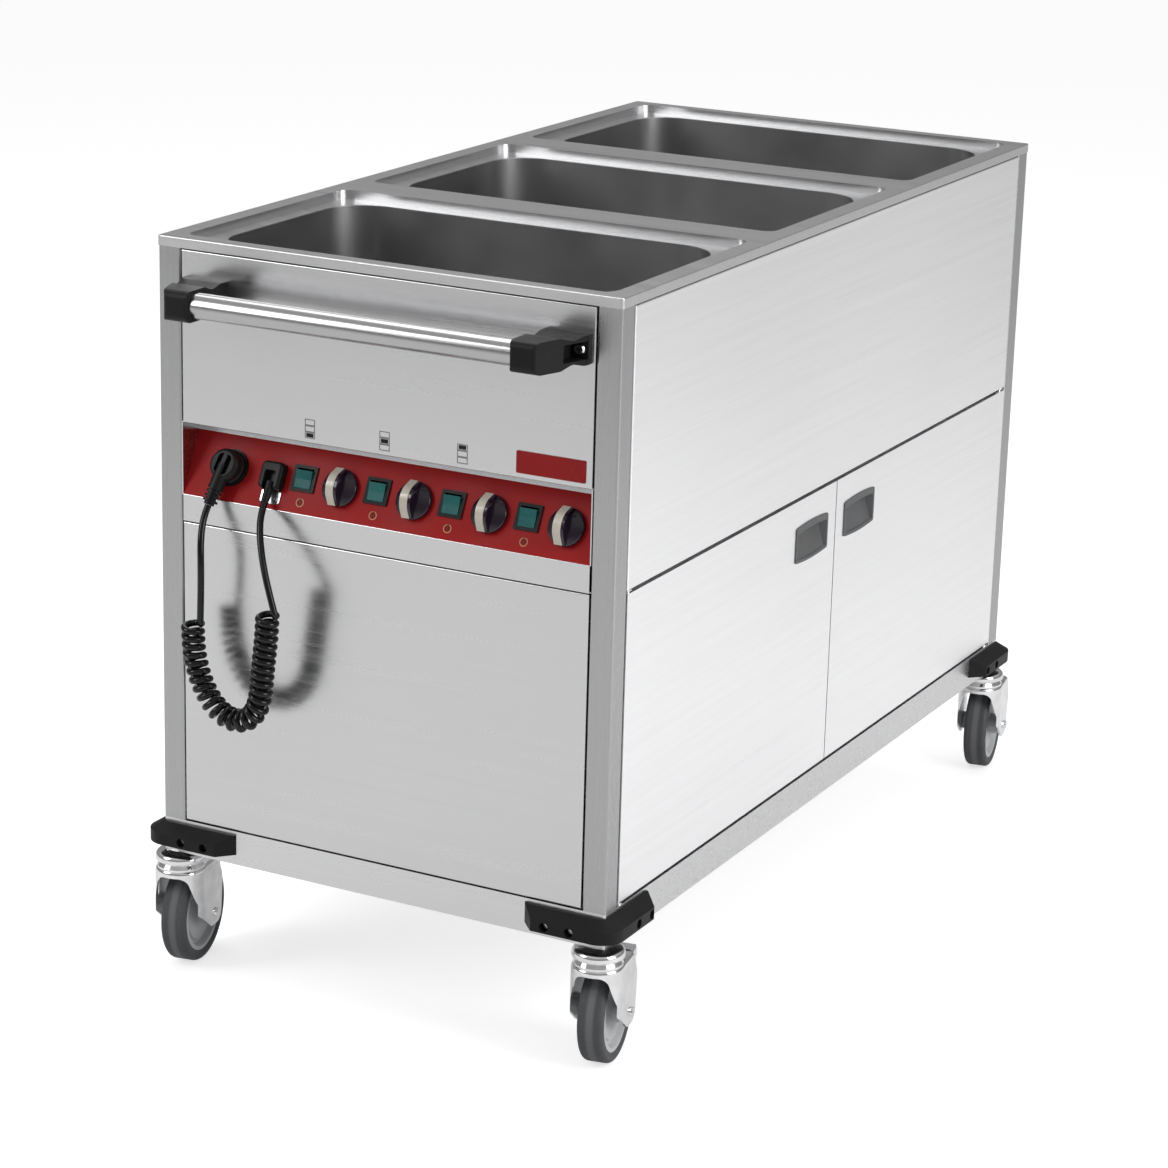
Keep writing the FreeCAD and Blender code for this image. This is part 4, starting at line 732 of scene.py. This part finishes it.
hood = rounded_tile("gland_hood", hood_width, hood_height, hood_corner)
bpy.ops.mesh.select_all(action="SELECT")
lift(hood_depth)
pick(hood, "EDGE", lambda middle, part: all(vertex.co.z > hood_depth - 0.0001 for vertex in part.verts))
bpy.ops.mesh.bevel(offset=hood_rim, segments=5)
bpy.ops.mesh.select_all(action="SELECT")
bpy.ops.mesh.normals_make_consistent(inside=False)
hollow = rounded_tile("hollow", hollow_width, hollow_height, hollow_corner)
bpy.ops.mesh.select_all(action="SELECT")
lift(hollow_depth)
bpy.ops.mesh.normals_make_consistent(inside=False)
bpy.ops.object.mode_set(mode="OBJECT")
hollow.data.transform(Matrix.Translation((0, -hollow_drop, hollow_floor)))
clear_bench()
bpy.context.view_layer.objects.active = hood
hood.select_set(True)
pocket = hood.modifiers.new("pocket", "BOOLEAN")
pocket.operation = "DIFFERENCE"
pocket.object = hollow
bpy.ops.object.modifier_apply(modifier=pocket.name)
bpy.data.objects.remove(hollow)
bpy.ops.object.mode_set(mode="EDIT")
polish(hood, 0.0006, 2, 40)
fit(hood, on_slope @ Matrix.Translation((hood_x, hood_s, film)), "trolley", plug_mould)
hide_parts("cord_gland")
print("gland hood:", len(hood.data.polygons), "faces")

# %% Strain relief
lead_tip = Vector(gland_route[0])
lead_way = (Vector(gland_route[1]) - lead_tip).normalized()
relief_length, relief_root, relief_tip, ring_count, waist = 0.026, 0.0060, 0.0045, 13, 0.93
sleeve_reach = 0.020

clear_bench()
bpy.ops.mesh.primitive_cone_add(vertices=28, radius1=relief_root, radius2=relief_tip, depth=relief_length)
relief_piece = take("strain_relief")
pick(relief_piece, "EDGE", lambda middle, part:
     abs(part.verts[0].co.z - part.verts[1].co.z) > 0.9 * relief_length)
bpy.ops.mesh.subdivide(number_cuts=ring_count * 2)
for i in range(ring_count - 2):
    level = -relief_length / 2 + relief_length * (2 * i + 3) / (2 * ring_count + 1)
    pick(relief_piece, "VERT", lambda middle, part: abs(middle.z - level) < 0.0004)
    bpy.ops.transform.resize(value=(waist, waist, 1.0), center_override=(0, 0, level))
polish(relief_piece, angle=50)
stand = Vector((0, 0, 1)).rotation_difference(lead_way).to_matrix().to_4x4()
fit(relief_piece, Matrix.Translation(lead_tip - lead_way * (sleeve_reach - relief_length / 2)) @ stand,
    "trolley", plug_mould)
print("strain relief:", relief_length, "m long")

# %% Bright plate under the hood
hood_foot = hood_s - hood_height / 2
tab_width, tab_height, tab_corner, tab_proud = 0.0265, 0.0150, 0.0045, 0.0012
tab_shift, tab_drop = 0.0005, 0.0076
screw_reach, screw_drop = 0.0082, 0.0095

gland_plate = rounded_tile("gland_plate", tab_width, tab_height, tab_corner)
pick(gland_plate, "VERT", lambda middle, part: middle.y > 0.002)
bpy.ops.transform.resize(value=(1.0, 0.2, 1.0), center_override=(0, tab_height / 2, 0))
bpy.ops.mesh.select_all(action="SELECT")
lift(tab_proud)
polish(gland_plate, 0.0003, 2)
fit(gland_plate, on_slope @ Matrix.Translation((hood_x + tab_shift, hood_foot - tab_drop, film)),
    "trolley", pale_plate)

clear_bench()
bpy.ops.mesh.primitive_cylinder_add(vertices=20, radius=0.0019, depth=0.0012, location=(0, 0, 0.0018))
plate_screw = take("gland_screw_1")
pick(plate_screw, "FACE", lambda middle, part: part.normal.z > 0.9)
bpy.ops.mesh.inset(thickness=0.0007)
bpy.ops.mesh.extrude_region_move(TRANSFORM_OT_translate={"value": (0, 0, -0.0006)})
polish(plate_screw, 0.0002, 2)
# The copy comes first, because fitting a piece moves its own mesh.
for number, side in ((2, 1), (1, -1)):
    screw = plate_screw if number == 1 else again(plate_screw, "gland_screw_2")
    fit(screw, on_slope @ Matrix.Translation((hood_x + side * screw_reach, hood_foot - screw_drop, film)),
        "trolley", screw_plate)
print("plate and two screws under the hood")

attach(lead, "trolley")
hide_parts("lead_to_plug", "coiled_lead", "lead_to_gland")

# %% [markdown]
# ## Pull cups
#
# Each door has a moulded cup to pull it by: a bowed frame, wide at the top where the fingers hook
# in, round a pocket that is deep under its top edge and runs out to nothing below. It starts as one
# strip of faces whose long edges are bowed column by column, then inset, extruded backwards and
# given its wall by a solidify modifier.

# %% One pull cup
cup_width, cup_height, cup_bow = 0.0930, 0.0440, 0.0026
cup_y, cup_z, door_face = 0.072, 0.5103, 0.2990
cup_rim, lip_depth, cup_wall, cup_proud = 0.0034, 0.0012, 0.0009, 0.0013
pocket_depth, pocket_narrowing = 0.0120, 0.92
columns = 10

clear_bench()
bpy.ops.mesh.primitive_grid_add(x_subdivisions=columns, y_subdivisions=1, size=1)
bpy.context.active_object.scale = (cup_width, cup_height, 1)
cup = take("door_cup_rear")
for i in range(columns + 1):
    x = cup_width * (i / columns - 0.5)
    bow = cup_bow * (1 - (2 * x / cup_width) ** 2)
    for side in (-1, 1):
        pick(cup, "VERT", lambda middle, part: abs(middle.x - x) < 0.0005 and side * middle.y > 0)
        bpy.ops.transform.translate(value=(0, side * bow, 0))
pick(cup, "VERT", lambda middle, part: abs(middle.x) > cup_width / 2 - 0.0002)
bpy.ops.mesh.bevel(offset=0.0028, segments=4, affect="VERTICES")
bpy.ops.mesh.select_all(action="SELECT")
bpy.ops.mesh.inset(thickness=cup_rim)
pick(cup, "VERT", lambda middle, part: 0.012 < middle.y < cup_height / 2 + cup_bow - 0.0030
     and abs(middle.x) < cup_width / 2 - 0.0030)
bpy.ops.transform.translate(value=(0, -0.0050, 0))
pick(cup, "FACE", lambda middle, part: abs(middle.x) < cup_width / 2 - 0.0036 and abs(middle.y) < 0.010)
print("pocket faces", sum(1 for face in bmesh.from_edit_mesh(cup.data).faces if face.select))
bpy.ops.mesh.extrude_region_move(TRANSFORM_OT_translate={"value": (0, 0, -pocket_depth)})
bpy.ops.transform.resize(value=(pocket_narrowing, 1.0, 1.0))
pick(cup, "VERT", lambda middle, part: middle.z < -0.010 and middle.y < 0)
bpy.ops.transform.translate(value=(0, 0.0015, 0.0095))
pick(cup, "EDGE", lambda middle, part: part.is_boundary)
bpy.ops.mesh.extrude_region_move(TRANSFORM_OT_translate={"value": (0, 0, -lip_depth)})
bpy.ops.mesh.select_all(action="SELECT")
bpy.ops.mesh.remove_doubles(threshold=0.00001)
bpy.ops.mesh.normals_make_consistent(inside=False)
bpy.ops.object.mode_set(mode="OBJECT")
wall = cup.modifiers.new("wall", "SOLIDIFY")
wall.thickness = cup_wall
wall.offset = -1.0
bpy.ops.object.modifier_apply(modifier=wall.name)
bpy.ops.object.mode_set(mode="EDIT")
polish(cup, 0.0005, 2, 40)
on_door = facing(Vector((0, 1, 0)), Vector((0, 0, 1)), Vector((1, 0, 0)))
door_side = Matrix.Translation((door_face + cup_proud, 0, 0)) @ on_door
front_cup = again(cup, "door_cup_front")
fit(cup, door_side @ Matrix.Translation((cup_y, cup_z, 0)), "door_rear", cup_mould)
fit(front_cup, door_side @ Matrix.Translation((-cup_y, cup_z, 0)), "door_front", cup_mould)
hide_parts("pull_cup_rear")
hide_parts("pull_cup_front")
print("pull cup:", len(cup.data.polygons), "faces")

# %% [markdown]
# ## Crosses in the handle screws
#
# The two screws that hold the push bar look out of pockets in their brackets. Their heads have a
# cross for the driver, drawn as painted shade: a small dark grid with its corners taken away, as
# thin as a print, standing for the shade inside the cross's recess.

# %% Screw crosses
bar_screw, bar_height, head_face = 0.2515, 0.845, -0.6080
cross_size, cross_proud = 0.0066, 0.0002

clear_bench()
bpy.ops.mesh.primitive_grid_add(x_subdivisions=3, y_subdivisions=3, size=cross_size)
cross = take("screw_cross_right")
pick(cross, "FACE", lambda middle, part: abs(middle.x) > 0.001 and abs(middle.y) > 0.001)
bpy.ops.mesh.delete(type="FACE")
bpy.ops.mesh.select_all(action="SELECT")
lift(cross_proud)
polish(cross, 0.0001, 1)
left_cross = again(cross, "screw_cross_left")
for mark, x in ((cross, bar_screw), (left_cross, -bar_screw)):
    # The crosses are painted shade, in the dark material that also prints the drops and label cells.
    fit(mark, Matrix.Translation((x, head_face, bar_height)) @ on_end, "trolley", dark_ink_and_painted_shade)
print("crosses on both handle screws")

# %% [markdown]
# ## Light, floor and background
#
# Large soft lamps stand round the trolley as in a studio. The floor and the sky look white to the
# camera, but the sky that the steel mirrors is darker near the horizon, as a studio's walls are:
# without that, polished steel has nothing to show.

# %% World
world = bpy.data.worlds.new("studio")
scene.world = world
world.use_nodes = True
sky = world.node_tree
sky.nodes.clear()


def sky_node(kind):
    return sky.nodes.new(kind)


direction = sky_node("ShaderNodeTexCoord")
parts = sky_node("ShaderNodeSeparateXYZ")
height = sky_node("ShaderNodeValToRGB")
studio = sky_node("ShaderNodeBackground")
white = sky_node("ShaderNodeBackground")
ray = sky_node("ShaderNodeLightPath")
chosen = sky_node("ShaderNodeMixShader")
result = sky_node("ShaderNodeOutputWorld")
sky.links.new(direction.outputs["Generated"], parts.inputs["Vector"])
sky.links.new(parts.outputs["Z"], height.inputs["Fac"])
sky.links.new(height.outputs["Color"], studio.inputs["Color"])
sky.links.new(ray.outputs["Is Camera Ray"], chosen.inputs["Fac"])
sky.links.new(studio.outputs["Background"], chosen.inputs[1])
sky.links.new(white.outputs["Background"], chosen.inputs[2])
sky.links.new(chosen.outputs["Shader"], result.inputs["Surface"])
white.inputs["Color"].default_value = (1, 1, 1, 1)
studio.inputs["Strength"].default_value = 0.62
bands = height.color_ramp.elements
bands[0].position = 0.0
bands[0].color = (0.62, 0.62, 0.62, 1)
bands[1].position = 1.0
bands[1].color = (0.95, 0.95, 0.95, 1)
for place, level in ((0.12, 0.42), (0.42, 0.45), (0.70, 0.85)):
    band = bands.new(place)
    band.color = (level, level, level, 1)

# %% Floor
floor_mesh = bpy.data.meshes.new("floor")
floor_half = 14.0
camera_glow, mirror_glow = 0.66, 0.26
corner_signs = ((-1, -1), (1, -1), (1, 1), (-1, 1))
floor_mesh.from_pydata([(x * floor_half, y * floor_half, 0) for x, y in corner_signs], [], [(0, 1, 2, 3)])
floor = bpy.data.objects.new("floor", floor_mesh)
scene.collection.objects.link(floor)
floor_paint = bpy.data.materials.new("floor_paint")
floor_paint.use_nodes = True
floor_tree = floor_paint.node_tree
shader = floor_tree.nodes["Principled BSDF"]
shader.inputs["Roughness"].default_value = 0.9
shader.inputs["Specular IOR Level"].default_value = 0.1
shader.inputs["Emission Color"].default_value = (1, 1, 1, 1)
ray = floor_tree.nodes.new("ShaderNodeLightPath")
mirrored = floor_tree.nodes.new("ShaderNodeMath")
mirrored.operation = "MULTIPLY"
mirrored.inputs[1].default_value = mirror_glow
glow = floor_tree.nodes.new("ShaderNodeMath")
glow.operation = "MULTIPLY_ADD"
glow.inputs[1].default_value = camera_glow
floor_tree.links.new(ray.outputs["Is Glossy Ray"], mirrored.inputs[0])
floor_tree.links.new(ray.outputs["Is Camera Ray"], glow.inputs[0])
floor_tree.links.new(mirrored.outputs["Value"], glow.inputs[2])
floor_tree.links.new(glow.outputs["Value"], shader.inputs["Emission Strength"])
shader.inputs["Base Color"].default_value = (0.62, 0.62, 0.62, 1)
floor_mesh.materials.append(floor_paint)


# %% Lamps
def soft_lamp(name, place, aim, size, power):
    lamp = bpy.data.lights.new(name, "AREA")
    lamp.shape = "RECTANGLE"
    lamp.size, lamp.size_y = size
    lamp.energy = power
    stand = bpy.data.objects.new(name, lamp)
    stand.location = place
    stand.rotation_euler = (Vector(aim) - Vector(place)).to_track_quat("-Z", "Y").to_euler()
    scene.collection.objects.link(stand)


soft_lamp("key_left", (-2.6, -3.2, 2.6), (0, 0, 0.6), (1.6, 2.2), 58)
soft_lamp("fill_right", (3.6, -0.6, 2.0), (0, 0, 0.5), (2.0, 2.4), 95)
soft_lamp("top", (-0.6, 0.6, 3.4), (0, 0, 0.8), (2.4, 2.4), 46)

# %% Picture settings
scene.view_settings.view_transform = "Standard"
